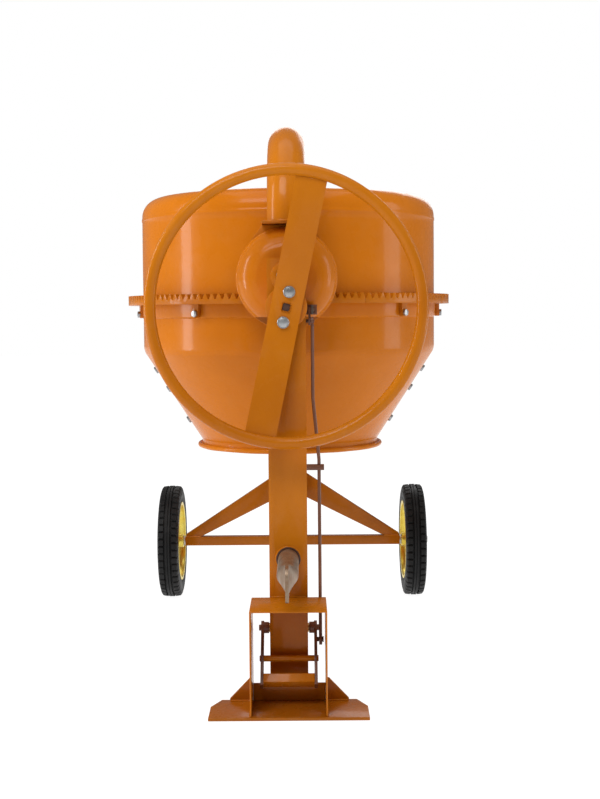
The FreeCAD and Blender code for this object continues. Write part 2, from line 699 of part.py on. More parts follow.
def belt():
    """The V-belt: a closed loop round both pulleys, running in their grooves."""
    loops = []
    big, little = number("pulley_radius"), number("motor_pulley_radius")
    top, low = number("tilt_z"), number("motor_z")
    lean = math.asin((big - little) / (top - low))
    for inset in (0.5, 9):
        corners = []
        for radius, height, start in ((big - inset, top, -lean), (little - inset, low, math.pi + lean)):
            reach = math.pi + 2 * lean if height == top else math.pi - 2 * lean
            places = [start + reach * step / 2 for step in range(3)]
            corners.append([Vector(radius * math.cos(a), 0, height + radius * math.sin(a))
                            for a in places])
        edges = [Part.Arc(*corners[0]).toShape(),
                 Part.makeLine(corners[0][2], corners[1][0]),
                 Part.Arc(*corners[1]).toShape(),
                 Part.makeLine(corners[1][2], corners[0][0])]
        loops.append(Part.Face(Part.Wire(edges)))
    ring = loops[0].cut(loops[1]).extrude(Vector(0, 7, 0))
    return ring


keep(feature("belt_loop", belt(), 0, number("pulley_y") + 7.5, 0), "drive_belt")

# ---------------------------------------------------------------- frame
FOOT_FRONT = "(column_out + guard_reach + 5)"
TONGUE = "(column_width / 2 + 15)"
keep(padded("foot_blank", "XY_Plane", [
    ("-foot_width / 2", "0"),
    ("foot_width / 2", "0"),
    ("foot_width / 2", "foot_deep - 60"),
    ("foot_width / 2 - 26", "foot_deep"),
    (TONGUE, "foot_deep"),
    (TONGUE, FOOT_FRONT + " - column_y + 5"),
    ("-" + TONGUE, FOOT_FRONT + " - column_y + 5"),
    ("-" + TONGUE, "foot_deep"),
    ("-foot_width / 2 + 26", "foot_deep"),
    ("-foot_width / 2", "foot_deep - 60"),
], "foot_wall"), "foot_plate")
place(parts[-1], 0, "-" + FOOT_FRONT, "foot_wall / 2")

WEB_Y = "-(%s - foot_deep + 8)" % FOOT_FRONT
INSIDE = "(guard_width / 2 - guard_wall - weld_gap)"
middle_web = box("web_middle", ("-" + INSIDE, INSIDE), (WEB_Y + " - 4", WEB_Y + " + 4"),
                 ("foot_wall", "foot_wall + 46"))
webs = []
for side in (-1, 1):
    web = padded("web_%s" % ("left" if side < 0 else "right"), "XZ_Plane", [
        ("(%d) * (guard_width / 2 + weld_gap)" % side, "foot_wall"),
        ("(%d) * (guard_width / 2 + 58)" % side, "foot_wall"),
        ("(%d) * (guard_width / 2 + 58)" % side, "foot_wall + 6"),
        ("(%d) * (guard_width / 2 + 6)" % side, "foot_wall + 60"),
        ("(%d) * (guard_width / 2 + weld_gap)" % side, "foot_wall + 60"),
    ], "8")
    webs.append(place(web, 0, WEB_Y, 0))
keep(group("web_set", middle_web, *webs), "foot_webs")

PEDAL_Y = "column_y + column_deep / 2"
PEDAL_Z = "foot_wall + 181"
SHAFT_R = 8
CRANK_Y = "column_out - 33"
CRANK_Z = "hand_z - 36"
LEVER_LEAN = -41.9


def column(name, side, foot, *holes):
    """A box column between its inner and outer face, open at the top, with cross holes."""
    near, far = ("-column_out", "-column_y") if side < 0 else ("column_y", "column_out")
    outer = box(name + "_outer", ("-column_width / 2", "column_width / 2"), (near, far),
                (foot, "column_top"))
    inner = box(name + "_inner", ("-column_width / 2 + column_wall", "column_width / 2 - column_wall"),
                (near + " + column_wall", far + " - column_wall"), (foot + " - 1", "column_top + 1"))
    return cut(name, outer, inner, *holes)


def across(name, side, radius, height):
    """A tool that drills both walls of a column along Y."""
    span = ("-column_out - 20", "-column_y + 20") if side < 0 else ("column_y - 20", "column_out + 20")
    return cylinder(name, "Y", radius + " + weld_gap", span, pz=height)


keep(column("column_front", -1, "foot_wall",
            across("hole_tilt", -1, "trunnion_radius + sleeve_wall", "tilt_z"),
            across("hole_hand", -1, "drive_shaft_radius + 8", "hand_z"),
            across("hole_tow", -1, "pipe_radius + 5", "backbone_height"),
            cylinder("hole_pedal", "X", "12 + weld_gap", ("-80", "80"),
                     py="-(%s)" % PEDAL_Y, pz=PEDAL_Z)), "front_column")
keep(column("column_rear", 1, "axle_z + beam_size / 2",
            across("hole_rear", 1, "hollow_radius + sleeve_wall", "tilt_z")), "rear_column")
sleeves = [tube("sleeve_front", "Y", "trunnion_radius + sleeve_wall", "trunnion_radius + running",
                ("-sleeve_end", "-column_y + 4"), pz="tilt_z"),
           tube("sleeve_rear", "Y", "hollow_radius + sleeve_wall", "hollow_radius + running",
                ("column_y - 4", "sleeve_end"), pz="tilt_z"),
           tube("sleeve_hand", "Y", "drive_shaft_radius + 8", "drive_shaft_radius + running",
                ("-sleeve_end", "-column_y + 4"), pz="hand_z")]
keep(group("sleeve_set", *sleeves), "bearing_sleeves")
keep(group("pedal_bush_pair", *[
    tube("pedal_bush_%d" % index, "X", "12", "%g + running" % SHAFT_R, span,
         py="-(%s)" % PEDAL_Y, pz=PEDAL_Z)
    for index, span in enumerate((("-column_width / 2 - 3", "-column_width / 2 + 9"),
                                  ("column_width / 2 - 9", "column_width / 2 + 3")))]),
     "pedal_bushes")

backbone = tube("backbone_pipe", "Y", "backbone_radius", "backbone_radius - backbone_wall",
                ("-column_y + weld_gap", "column_y - weld_gap"), pz="backbone_height")
clamp_hole = cylinder("clamp_hole", "Z", "6 + weld_gap", ("backbone_height - 60", "backbone_height"),
                      py="-column_y + 40")
keep(cut("backbone_drilled", backbone, clamp_hole), "backbone_tube")
nut_tools = Part.makeCylinder(6 + number("weld_gap"), 60, Vector(0, 0, -20))
clamp_nut = hex_head(22, 12, Vector(0, 0, 0), Vector(0, 0, 1)).cut(nut_tools)
nut = feature("clamp_nut_hex", clamp_nut, 0, -number("column_y - 40"),
              number("backbone_height - backbone_radius") - 12.1)
clamp = Part.makeCylinder(6, number("backbone_radius - pipe_radius") + 42).fuse(
    Part.makeCylinder(4, 70, Vector(-35, 0, 7), Vector(1, 0, 0)))
bar = feature("clamp_bar", clamp, 0, -number("column_y - 40"),
              number("backbone_height - backbone_radius") - 42.3)
keep(group("clamp_set", nut, bar), "tow_pipe_clamp")
keep(tube("guide_pipe", "Y", "pipe_radius + 5", "pipe_radius + 0.08", ("-sleeve_end", "-column_y"),
          pz="backbone_height"), "tow_pipe_guide")

beam = box("beam_outer", ("-beam_half", "beam_half"),
           ("axle_y - beam_size / 2", "axle_y + beam_size / 2"),
           ("axle_z - beam_size / 2", "axle_z + beam_size / 2"))
beam_inside = box("beam_inner", ("-beam_half - 1", "beam_half + 1"),
                  ("axle_y - beam_size / 2 + 3", "axle_y + beam_size / 2 - 3"),
                  ("axle_z - beam_size / 2 + 3", "axle_z + beam_size / 2 - 3"))
keep(cut("beam_tube", beam, beam_inside), "axle_beam")
braces = []
for side, name in ((-1, "left"), (1, "right")):
    arm = padded("brace_plate_" + name, "XZ_Plane", [
        ("(%d) * (column_width / 2 + weld_gap)" % side, "axle_z + 158"),
        ("(%d) * (beam_half - 58)" % side, "axle_z + beam_size / 2"),
        ("(%d) * (beam_half - 3)" % side, "axle_z + beam_size / 2"),
        ("(%d) * (beam_half - 3)" % side, "axle_z + beam_size / 2 + 8"),
        ("(%d) * (column_width / 2 + weld_gap)" % side, "axle_z + 246"),
    ], "24")
    braces.append(place(arm, 0, "axle_y", 0))
keep(group("brace_pair", *braces), "axle_braces")

HUB_HALF = "40"
stubs = []
washers = []
for side, name in ((-1, "left"), (1, "right")):
    spans = [("beam_half - 45", "wheel_track / 2 + %s + 14" % HUB_HALF),
             ("beam_half", "wheel_track / 2 - %s - 0.2" % HUB_HALF),
             ("wheel_track / 2 + %s + 0.2" % HUB_HALF, "wheel_track / 2 + %s + 3.2" % HUB_HALF)]
    if side < 0:
        spans = [("-(%s)" % high, "-(%s)" % low) for low, high in spans]
    stubs.append(fuse("stub_" + name,
                      cylinder("stub_bar_" + name, "X", "stub_radius", spans[0],
                               py="axle_y", pz="axle_z"),
                      cylinder("stub_collar_" + name, "X", "stub_radius + 5", spans[1],
                               py="axle_y", pz="axle_z")))
    washers.append(tube("washer_" + name, "X", "20", "stub_radius + weld_gap", spans[2],
                        py="axle_y", pz="axle_z"))
pin_x = "wheel_track / 2 + %s + 7" % HUB_HALF
pin_holes = [cylinder("pin_hole_%d" % index, "Z", "2 + weld_gap", ("axle_z - 30", "axle_z + 30"),
                      px="(%d) * (%s)" % (side, pin_x), py="axle_y")
             for index, side in enumerate((-1, 1))]
keep(group("stub_pair", *[cut("stub_drilled_%d" % index, stub, hole)
                          for index, (stub, hole) in enumerate(zip(stubs, pin_holes))]),
     "axle_stubs")
split_pins = [
    cylinder("split_pin_%d" % index, "Z", "2", ("axle_z - stub_radius - 6", "axle_z + stub_radius + 6"),
             px="(%d) * (%s)" % (side, pin_x), py="axle_y") for index, side in enumerate((-1, 1))]
keep(group("retainer_set", *washers, *split_pins), "wheel_retainers")

# ---------------------------------------------------------------- road wheels
TYRE = [
    ("-tyre_width / 2 + 3.2", "rim_radius + 0.2"),
    ("tyre_width / 2 - 3.2", "rim_radius + 0.2"),
    ("tyre_width / 2 - 3.2", "rim_radius + 10"),
    ("tyre_width / 2", "rim_radius + 22"),
    ("tyre_width / 2", "wheel_radius - 18"),
    ("tyre_width / 2 - 5", "wheel_radius - 3"),
    ("14", "wheel_radius - 1"), ("13", "wheel_radius - 9"), ("9", "wheel_radius - 9"),
    ("8", "wheel_radius"), ("-8", "wheel_radius"),
    ("-9", "wheel_radius - 9"), ("-13", "wheel_radius - 9"), ("-14", "wheel_radius - 1"),
    ("-tyre_width / 2 + 5", "wheel_radius - 3"),
    ("-tyre_width / 2", "wheel_radius - 18"),
    ("-tyre_width / 2", "rim_radius + 22"),
    ("-tyre_width / 2 + 3.2", "rim_radius + 10"),
]
RIM_SIDE = [
    (HUB_HALF, "stub_radius + running"),
    (HUB_HALF, "stub_radius + 10"),
    ("4", "stub_radius + 12"),
    ("4", "rim_radius - 50"),
    ("10", "rim_radius - 30"),
    ("10", "rim_radius - 16"),
    ("tyre_width / 2 - 9", "rim_radius - 5"),
    ("tyre_width / 2", "rim_radius - 5"),
    ("tyre_width / 2", "rim_radius + 6"),
    ("tyre_width / 2 - 3", "rim_radius + 6"),
    ("tyre_width / 2 - 3", "rim_radius"),
]
for side, name in ((-1, "left"), (1, "right")):
    tyre = revolved("tyre_turned_" + name, "XZ_Plane", TYRE, "H_Axis")
    keep(place(tyre, "(%d) * wheel_track / 2" % side, "axle_y", "axle_z"), "tyre_" + name)
    mirror = [("-(%s)" % across_x, radius) for across_x, radius in reversed(RIM_SIDE)]
    rim_body = revolved("rim_turned_" + name, "XZ_Plane", RIM_SIDE + mirror, "H_Axis")
    keep(place(rim_body, "(%d) * wheel_track / 2" % side, "axle_y", "axle_z"), "wheel_rim_" + name)

# ---------------------------------------------------------------- tilting gear's cover
COVER_BACK = "-(disc_back + 4)"
COVER_FRONT = "-(column_y - 0.2)"
DOME = "(column_y - disc_back - 4)"
dish = revolved("dish_turned", "YZ_Plane", [
    (COVER_BACK, "disc_radius - 7"),
    (COVER_BACK, "disc_radius - 3"),
    (COVER_BACK + " - 8", "disc_radius - 3", "4.4", 1),
    (COVER_BACK + " - 16", "disc_radius - 4"),
    (COVER_FRONT, "disc_radius - 4 - %s * 0.75" % DOME, "%s * 0.95" % DOME, 1),
    (COVER_FRONT, "trunnion_radius + sleeve_wall + 1"),
    (COVER_FRONT + " + 3", "trunnion_radius + sleeve_wall + 1"),
    (COVER_FRONT + " + 3", "disc_radius - 6 - %s * 0.75" % DOME),
    (COVER_BACK + " - 16", "disc_radius - 7", "%s * 0.95 - 3" % DOME, -1),
], "H_Axis")
PLUNGER_X = "column_width / 2 + 17"
PLUNGER_Z = "hand_z - 6"
place(dish, 0, 0, "tilt_z")
flat = box("dish_flat", ("-200", "200"), ("-column_y - 10", "-disc_y"), ("tilt_z - 220", "tilt_z - 105"))
hand_clear = cylinder("dish_hand_hole", "Y", "drive_shaft_radius + 9", ("-column_y - 10", "-disc_y"),
                      pz="hand_z")
plunger_clear = cylinder("dish_plunger_hole", "Y", "13", ("-column_y - 10", "-disc_back - 4"),
                         px=PLUNGER_X, pz=PLUNGER_Z)
keep(cut("dish", dish, flat, hand_clear, plunger_clear), "tilt_gear_cover")

# ---------------------------------------------------------------- handwheel
keep(place(bind(doc.addObject("Part::Torus", "hand_ring"), Radius1="ring_reach - ring_tube",
                Radius2="ring_tube"), 0, "-ring_y", "hand_z"), "handwheel_ring")
parts[-1].Placement = Placement(Vector(), Rotation(Vector(1, 0, 0), 90))
place(parts[-1], 0, "-ring_y", "hand_z")

half_flat = "bar_flat / 2"
reach = "(ring_reach - ring_tube)"
bar = padded("bar_blank", "YZ_Plane", [
    ("-bar_y", "-(%s)" % half_flat), ("-bar_y", half_flat), ("-ring_y + bar_wall / 2", reach),
    ("-ring_y - bar_wall / 2", reach), ("-bar_y - bar_wall", half_flat),
    ("-bar_y - bar_wall", "-(%s)" % half_flat), ("-ring_y - bar_wall / 2", "-" + reach),
    ("-ring_y + bar_wall / 2", "-" + reach)], "bar_width")
bar.Placement = Placement(Vector(), Rotation(Vector(0, 1, 0), number("bar_lean")))
bar.setExpression("Placement.Rotation.Angle", bind_text("bar_lean"))
place(bar, 0, 0, "hand_z")
ring_clear = bind(doc.addObject("Part::Torus", "ring_clear"), Radius1="ring_reach - ring_tube",
                  Radius2="ring_tube + weld_gap + 0.05")
ring_clear.Placement = Placement(Vector(), Rotation(Vector(1, 0, 0), 90))
place(ring_clear, 0, "-ring_y", "hand_z")


def lean_point(along, py):
    """A point on the handwheel's bar, measured from the hub up along the bar."""
    lean = math.radians(number("bar_lean"))
    return Vector(along * math.sin(lean), py, number("hand_z") + along * math.cos(lean))


def square_bar(side, low, high):
    """A square bar along Y on the handwheel's axis, turned with its bar."""
    bar_shape = Part.makeBox(side, high - low, side, Vector(-side / 2, low, -side / 2))
    bar_shape.rotate(Vector(), Vector(0, 1, 0), number("bar_lean"))
    bar_shape.translate(Vector(0, 0, number("hand_z")))
    return bar_shape


BOLT_ALONG = 40
bar_y = number("bar_y")
front = Vector(0, -1, 0)
square_hole = square_bar(number("square_side") + 0.2, -bar_y - 40, -bar_y + 14)
bolt_holes = [Part.makeCylinder(8 + number("weld_gap"), 60, lean_point(side * BOLT_ALONG, -bar_y + 20),
                                front) for side in (-1, 1)]
hub_tools = feature("hub_tools", square_hole.fuse(bolt_holes))
keep(cut("bar_drilled", bar, ring_clear, hub_tools), "handwheel_spoke")
flange = cylinder("hub_disc", "Y", "54", ("-bar_y + weld_gap", "-bar_y + 10"), pz="hand_z")
keep(cut("hub_flange", flange, feature("hub_tools_copy", hub_tools.Shape.copy())), "handwheel_hub")
keep(feature("hand_bolt_set", Part.makeCompound([
    screw(8, 17, 24, 10, lean_point(side * BOLT_ALONG, -bar_y - number("bar_wall") - 0.2), front)
    for side in (-1, 1)])), "handwheel_bolts")
hand_bar = Part.makeCylinder(number("drive_shaft_radius"), bar_y - 10 - number("disc_back + 2"),
                             Vector(0, -bar_y + 10, number("hand_z")), Vector(0, 1, 0))
keep(feature("hand_shaft", hand_bar.fuse(square_bar(number("square_side"), -bar_y - 12,
                                                    -bar_y + 10)).removeSplitter()),
     "handwheel_shaft")
hand_phase = math.pi / 2 + math.pi / int(number("hand_teeth"))
hand_blank = spur_gear(int(number("hand_teeth")), number("tilt_module"), 0.7, hand_phase,
                       number("tilt_face"), number("drive_shaft_radius + weld_gap"))
keep(feature("hand_blank", hand_blank, 0, -number("disc_back + 2 + tilt_face"), number("hand_z")),
     "tilt_pinion")

# ---------------------------------------------------------------- tow pipe
ROUND_END = "(column_out + tow_reach - 140)"
round_pipe = tube("tow_round", "Y", "pipe_radius", "pipe_radius - pipe_wall",
                  ("-" + ROUND_END, "-column_y + pipe_tail"), pz="backbone_height")
doc.recompute()


def tow_tip():
    """The flattened end: the round pipe pressed into an upright blade with a round eye."""
    start, end = -number(ROUND_END), -number("column_out + tow_reach")
    high, radius = number("backbone_height"), number("pipe_radius")
    thick = number("pipe_wall")
    tall = radius * 1.55
    blade_start = start - 60
    turn = Placement(Vector(0, start, high), Rotation(Vector(1, 0, 0), 90))
    ring = Part.Wire(Part.Circle(Vector(), Vector(0, 0, 1), radius).toShape())
    ring.Placement = turn
    oval = Part.Wire(Part.Ellipse(Vector(), tall, thick + 0.4).toShape())
    oval.Placement = Placement(Vector(0, blade_start, high), Rotation(Vector(1, 0, 0), 90)).multiply(
        Placement(Vector(), Rotation(Vector(0, 0, 1), 90)))
    ring_turned = Part.Wire(Part.Circle(Vector(), Vector(0, 0, 1), radius).toShape())
    ring_turned.Placement = turn.multiply(Placement(Vector(), Rotation(Vector(0, 0, 1), 90)))
    neck = Part.makeLoft([ring_turned, oval], True)
    flat_end = Part.makeBox(2 * thick, blade_start - end, 2 * tall, Vector(-thick, end, high - tall))
    rounds = [edge for edge in flat_end.Edges if abs(edge.BoundBox.YMin - end) < 0.01
              and abs(edge.BoundBox.XLength - 2 * thick) < 0.01]
    flat_end = flat_end.makeFillet(22, rounds)
    eye = Part.makeCylinder(number("eye_radius"), 40, Vector(-20, end + 40, high), Vector(1, 0, 0))
    return neck.fuse(flat_end).cut(eye).removeSplitter()


tow_end = feature("tow_end", tow_tip())
tail_ring = tube("tow_tail_ring", "Y", "backbone_radius - backbone_wall - 0.08", "pipe_radius",
                 ("-column_y + pipe_tail - 20", "-column_y + pipe_tail"), pz="backbone_height")
keep(fuse("tow_joined", round_pipe, tow_end, tail_ring), "tow_pipe")

# ---------------------------------------------------------------- pedal and brake
guard_low = "foot_wall"
guard_front = "-(column_out + guard_reach)"
guard_outer = box("guard_outer", ("-guard_width / 2", "guard_width / 2"),
                  (guard_front, "-column_out - weld_gap"), (guard_low, "guard_height"))
guard_inner = box("guard_inner", ("-guard_width / 2 + guard_wall", "guard_width / 2 - guard_wall"),
                  (guard_front + " - 1", "-column_out + 1"), (guard_low + " - 1",
                                                              "guard_height - guard_wall"))
keep(cut("guard_bent", guard_outer, guard_inner), "pedal_guard")


def pedal_place(piece, px=0):
    """Turns a pedal piece with the lever and sets it on the pedal's pivot."""
    piece.Placement = Placement(Vector(), Rotation(Vector(1, 0, 0), LEVER_LEAN))
    return place(piece, px, "-(%s)" % PEDAL_Y, PEDAL_Z)


pivot = [0, -number(PEDAL_Y), number(PEDAL_Z)]
lean = Rotation(Vector(1, 0, 0), LEVER_LEAN)
half = number("column_width / 2")
lever_x = half + 16
LEVER_T = 8
LEVER_WIDE = 24
TREAD_AT = 165
BAR_AT = 90
PIN_AT = 35
PIN_R = 6


def pedal_shape(shape):
    shape.Placement = Placement(Vector(*pivot), lean).multiply(shape.Placement)
    return shape


pedal_bar = cylinder("pedal_bar", "X", str(SHAFT_R),
                     ("-column_width / 2 - 30", "column_width / 2 + 30"),
                     py="-(%s)" % PEDAL_Y, pz=PEDAL_Z)
levers = []
for side in (-1, 1):
    start_x = lever_x if side > 0 else -lever_x - LEVER_T
    arm = Part.makeBox(LEVER_T, LEVER_WIDE, TREAD_AT + 18,
                       Vector(start_x, -LEVER_WIDE / 2, -TREAD_AT - 4))
    boss_start = half + 3.3 if side > 0 else -lever_x - LEVER_T
    boss = Part.makeCylinder(15, lever_x + LEVER_T - half - 3.3, Vector(boss_start, 0, 0),
                             Vector(1, 0, 0))
    bore = Part.makeCylinder(SHAFT_R + 0.1, 400, Vector(-200, 0, 0), Vector(1, 0, 0))
    rod_bore = Part.makeCylinder(SHAFT_R + 0.1, 400, Vector(-200, 0, -BAR_AT), Vector(1, 0, 0))
    lever = arm.fuse(boss).cut([bore, rod_bore])
    levers.append(pedal_shape(lever))
keep(feature("lever_pair", Part.makeCompound(levers)), "pedal_levers")
cross = Part.makeCylinder(SHAFT_R, 2 * (lever_x + LEVER_T + 3), Vector(-lever_x - LEVER_T - 3, 0, -BAR_AT),
                          Vector(1, 0, 0))
cross_bar = feature("cross_bar", pedal_shape(cross))
tread = Part.makeBox(2 * lever_x - 0.2, 30, 24, Vector(-lever_x + 0.1, -18, -TREAD_AT))
keep(feature("tread_bar", pedal_shape(tread)), "pedal_tread")
pin = Part.makeCylinder(PIN_R, 14, Vector(lever_x + LEVER_T + 0.1, 0, -PIN_AT), Vector(1, 0, 0)).fuse(
    hex_head(16, 3, Vector(lever_x + LEVER_T + 14.1, 0, -PIN_AT), Vector(1, 0, 0)))
keep(group("pedal_bar_set", pedal_bar, cross_bar, feature("link_pin", pedal_shape(pin))),
     "pedal_shafts")

rod_x = lever_x + LEVER_T + 9
pin_world = lean.multVec(Vector(0, 0, -PIN_AT)) + Vector(*pivot)
crank_y, crank_z = -number(CRANK_Y), number(CRANK_Z)
CRANK_ARM = 25
PUSH_ARM = 30
ROD_R = 4.5
ROD_BENDS = (640, 800)
BRACKET_Z = 612
CRANK_T = 6
plunger_x, plunger_z = number(PLUNGER_X), number(PLUNGER_Z)
rod_y = pin_world.y


def link_eye(px, py, pz, wide, bore, slot):
    """A flat eye across X: its hole is stretched along Y by slot, half each way."""
    outer = Part.makeCylinder(bore + 6, wide, Vector(px - wide / 2, py, pz), Vector(1, 0, 0))
    outer = outer.fuse(Part.makeBox(wide, slot, 2 * bore + 12,
                                    Vector(px - wide / 2, py - slot / 2, pz - bore - 6)))
    for end in (-1, 1):
        outer = outer.fuse(Part.makeCylinder(bore + 6, wide, Vector(px - wide / 2, py + end * slot / 2,
                                                                    pz), Vector(1, 0, 0)))
    inner = Part.makeBox(wide + 2, slot, 2 * bore, Vector(px - wide / 2 - 1, py - slot / 2, pz - bore))
    for end in (-1, 1):
        inner = inner.fuse(Part.makeCylinder(bore, wide + 2, Vector(px - wide / 2 - 1,
                                                                    py + end * slot / 2, pz),
                                             Vector(1, 0, 0)))
    return outer, inner


def pull_rod():
    """The rod from the pedal to the brake's crank, with a bend beside the column."""
    low_eye, low_hole = link_eye(rod_x, rod_y, pin_world.z, 8, PIN_R + 0.9, 14)
    top_y = crank_y - CRANK_ARM
    top_eye, top_hole = link_eye(plunger_x, top_y, crank_z, 6, 4.6, 2)
    path = [Vector(rod_x, rod_y, pin_world.z + 8), Vector(rod_x - 1, rod_y, ROD_BENDS[0]),
            Vector(plunger_x, top_y, ROD_BENDS[1]), Vector(plunger_x, top_y, crank_z - 8)]
    rod = low_eye.fuse(top_eye)
    for start, end in zip(path, path[1:]):
        rod = rod.fuse(Part.makeCylinder(ROD_R, (end - start).Length, start, end - start))
    for point in path[1:3]:
        rod = rod.fuse(Part.makeSphere(ROD_R, point))
    return rod.cut([low_hole, top_hole])


keep(feature("rod_bent", pull_rod()), "pull_rod")
bracket = Part.makeBox(rod_x + 12 - half, 18, 14, Vector(half + 0.1, rod_y - 9, BRACKET_Z)).cut(
    Part.makeCylinder(ROD_R + 2, 60, Vector(rod_x - 0.8, rod_y, BRACKET_Z - 12)))
rod_bracket = feature("rod_bracket", bracket)

crank = Part.makeCylinder(11, CRANK_T, Vector(plunger_x - 10, crank_y, crank_z), Vector(1, 0, 0))
crank = crank.fuse(Part.makeBox(CRANK_T, CRANK_ARM, 14, Vector(plunger_x - 10, crank_y - CRANK_ARM,
                                                         crank_z - 7)))
crank = crank.fuse(Part.makeBox(CRANK_T, 14, PUSH_ARM + 6, Vector(plunger_x - 10, crank_y - 7, crank_z)))
crank = crank.fuse(Part.makeCylinder(7, CRANK_T, Vector(plunger_x - 10, crank_y - CRANK_ARM, crank_z),
                                     Vector(1, 0, 0)))
for py, pz in ((crank_y - CRANK_ARM, crank_z), (crank_y, crank_z + PUSH_ARM)):
    crank = crank.fuse(Part.makeCylinder(4, 15, Vector(plunger_x - 10, py, pz), Vector(1, 0, 0)))
crank = crank.cut(Part.makeCylinder(5.05, 30, Vector(plunger_x - 20, crank_y, crank_z),
                                    Vector(1, 0, 0)))
keep(feature("crank_plate", crank.removeSplitter()), "brake_crank")
crank_pin = Part.makeCylinder(5, plunger_x - 3.4 - half, Vector(half + 0.1, crank_y, crank_z),
                              Vector(1, 0, 0))
crank_pivot = feature("crank_pivot", crank_pin)
disc_face = -number("disc_back")
slot_box = Part.makeBox(10, 9.2, 12, Vector(plunger_x - 5, crank_y - 4.6, plunger_z - 6))
plunger = Part.makeBox(6, 22, 24, Vector(plunger_x - 3, crank_y - 11, plunger_z - 12))
plunger = plunger.fuse(Part.makeCylinder(7, disc_face - 8 - crank_y - 9, Vector(
    plunger_x, crank_y + 9, plunger_z), Vector(0, 1, 0)))
plunger = plunger.fuse(Part.makeCylinder(12, 5, Vector(plunger_x, disc_face - 10.4, plunger_z),
                                         Vector(0, 1, 0)))
plunger = plunger.cut(slot_box)
pad = Part.makeCylinder(12, 5, Vector(plunger_x, disc_face - 5.3, plunger_z), Vector(0, 1, 0))
keep(group("plunger_set", feature("plunger_bar", plunger), feature("pad_disc", pad)),
     "brake_plunger")
guide_block = Part.makeBox(plunger_x + 13 - half, 9, 26, Vector(
    half + 0.1, -number("column_y") - 10, plunger_z - 13)).cut(
    Part.makeCylinder(7.06, 60, Vector(plunger_x, -number("column_y") - 30, plunger_z),
                      Vector(0, 1, 0)))
SPRING_R, SPRING_WIRE = 10.2, 1.3
spring_start = -number("column_y") - 1 + SPRING_WIRE + 0.3
spring_long = disc_face - 10.4 - SPRING_WIRE - 0.3 - spring_start
helix = Part.makeHelix(spring_long / 9, spring_long, SPRING_R)
wire_end = Part.Wire(Part.Circle(Vector(SPRING_R, 0, 0), Vector(0, 1, 0), SPRING_WIRE).toShape())
coil = Part.Wire(helix).makePipeShell([wire_end], True, True)
coil.Placement = Placement(Vector(plunger_x, spring_start, plunger_z),
                           Rotation(Vector(1, 0, 0), -90))
keep(feature("spring_coil", coil), "brake_spring")
keep(group("brake_bracket_set", rod_bracket, crank_pivot, feature("plunger_block", guide_block)),
     "brake_brackets")

# ---------------------------------------------------------------- motor and its hood
motor_z = number("motor_z")
motor_y = number("motor_y")
motor_r = number("motor_radius")
motor_len = number("motor_length")
motor = Part.makeCylinder(motor_r, motor_len, Vector(0, motor_y, motor_z), Vector(0, 1, 0))
feet = Part.makeBox(150, motor_len - 60, 30, Vector(-75, motor_y + 30, motor_z - motor_r - 8))
terminal = Part.makeBox(70, 80, 50, Vector(-35, motor_y + 40, motor_z + motor_r - 12))
front_bore = Part.makeCylinder(12, 40, Vector(0, motor_y - 1, motor_z), Vector(0, 1, 0))
motor_cast = feature("motor_cast", motor.fuse([feet, terminal]).cut(front_bore).removeSplitter())
fan_cover = cylinder("fan_cover", "Y", "motor_radius + 2",
                     ("motor_y + motor_length + weld_gap", "motor_y + motor_length + 42"),
                     pz="motor_z")
keep(group("motor_set", motor_cast, fan_cover), "motor_body")
shelf_z = "motor_z - motor_radius - 8"
shelf = box("shelf", ("-110", "110"), ("plate_y + 3 + weld_gap", "motor_y + motor_length + 4"),
            (shelf_z + " - 8", shelf_z))
shelf_webs = []
for side in (-1, 1):
    web = padded("shelf_web_%d" % (side + 1), "YZ_Plane", [
        ("plate_y + 3 + weld_gap", shelf_z + " - 8"),
        ("plate_y + 3 + weld_gap", "hood_z + 12"),
        ("plate_y + 25", "hood_z + 12"),
        ("motor_y + 100", shelf_z + " - 8")], "6")
    shelf_webs.append(place(web, "(%d) * 80" % side, 0, 0))
keep(group("shelf_set", shelf, *shelf_webs), "motor_shelf")
backing = box("backing_sheet", ("-hood_width / 2", "hood_width / 2"), ("plate_y", "plate_y + 3"),
              ("hood_z", "hood_z + hood_height"))
backing_hole = cylinder("backing_hole", "Y", "hollow_radius + sleeve_wall + 1",
                        ("plate_y - 5", "plate_y + 8"), pz="tilt_z")
keep(cut("backing_cut", backing, backing_hole), "hood_back_plate")

HOOD_FRONT = "plate_y + 4"
shell = box("hood_block", ("-hood_width / 2", "hood_width / 2"), (HOOD_FRONT, "column_out + hood_reach"),
            ("hood_z", "hood_z + hood_height"))
hollow = box("hood_hollow", ("-hood_width / 2 + hood_wall", "hood_width / 2 - hood_wall"),
             (HOOD_FRONT + " - 1", "column_out + hood_reach - hood_wall"),
             ("hood_z - 1", "hood_z + hood_height - hood_wall"))
doc.recompute()


def back_edges(block, radius):
    """The edges of a block's back, without the one at its open bottom, for one fillet."""
    back, bottom = block.Shape.BoundBox.YMax, block.Shape.BoundBox.ZMin
    return [(index + 1, radius, radius) for index, edge in enumerate(block.Shape.Edges)
            if abs(edge.BoundBox.YMin - back) < 0.01 and edge.BoundBox.ZMax > bottom + 1]


rounded = []
for block, radius in ((shell, 22), (hollow, 19)):
    soft = doc.addObject("Part::Fillet", block.Name + "_rounded")
    soft.Base = block
    soft.Edges = back_edges(block, radius)
    rounded.append(soft)
slots = [Part.makeBox(500, 60, 7, Vector(-250, motor_y + 60, motor_z - 60 + 22 * index))
         for index in range(6)]
hood = cut("hood_shell", rounded[0], rounded[1],
           feature("hood_slots", Part.makeCompound(slots)))

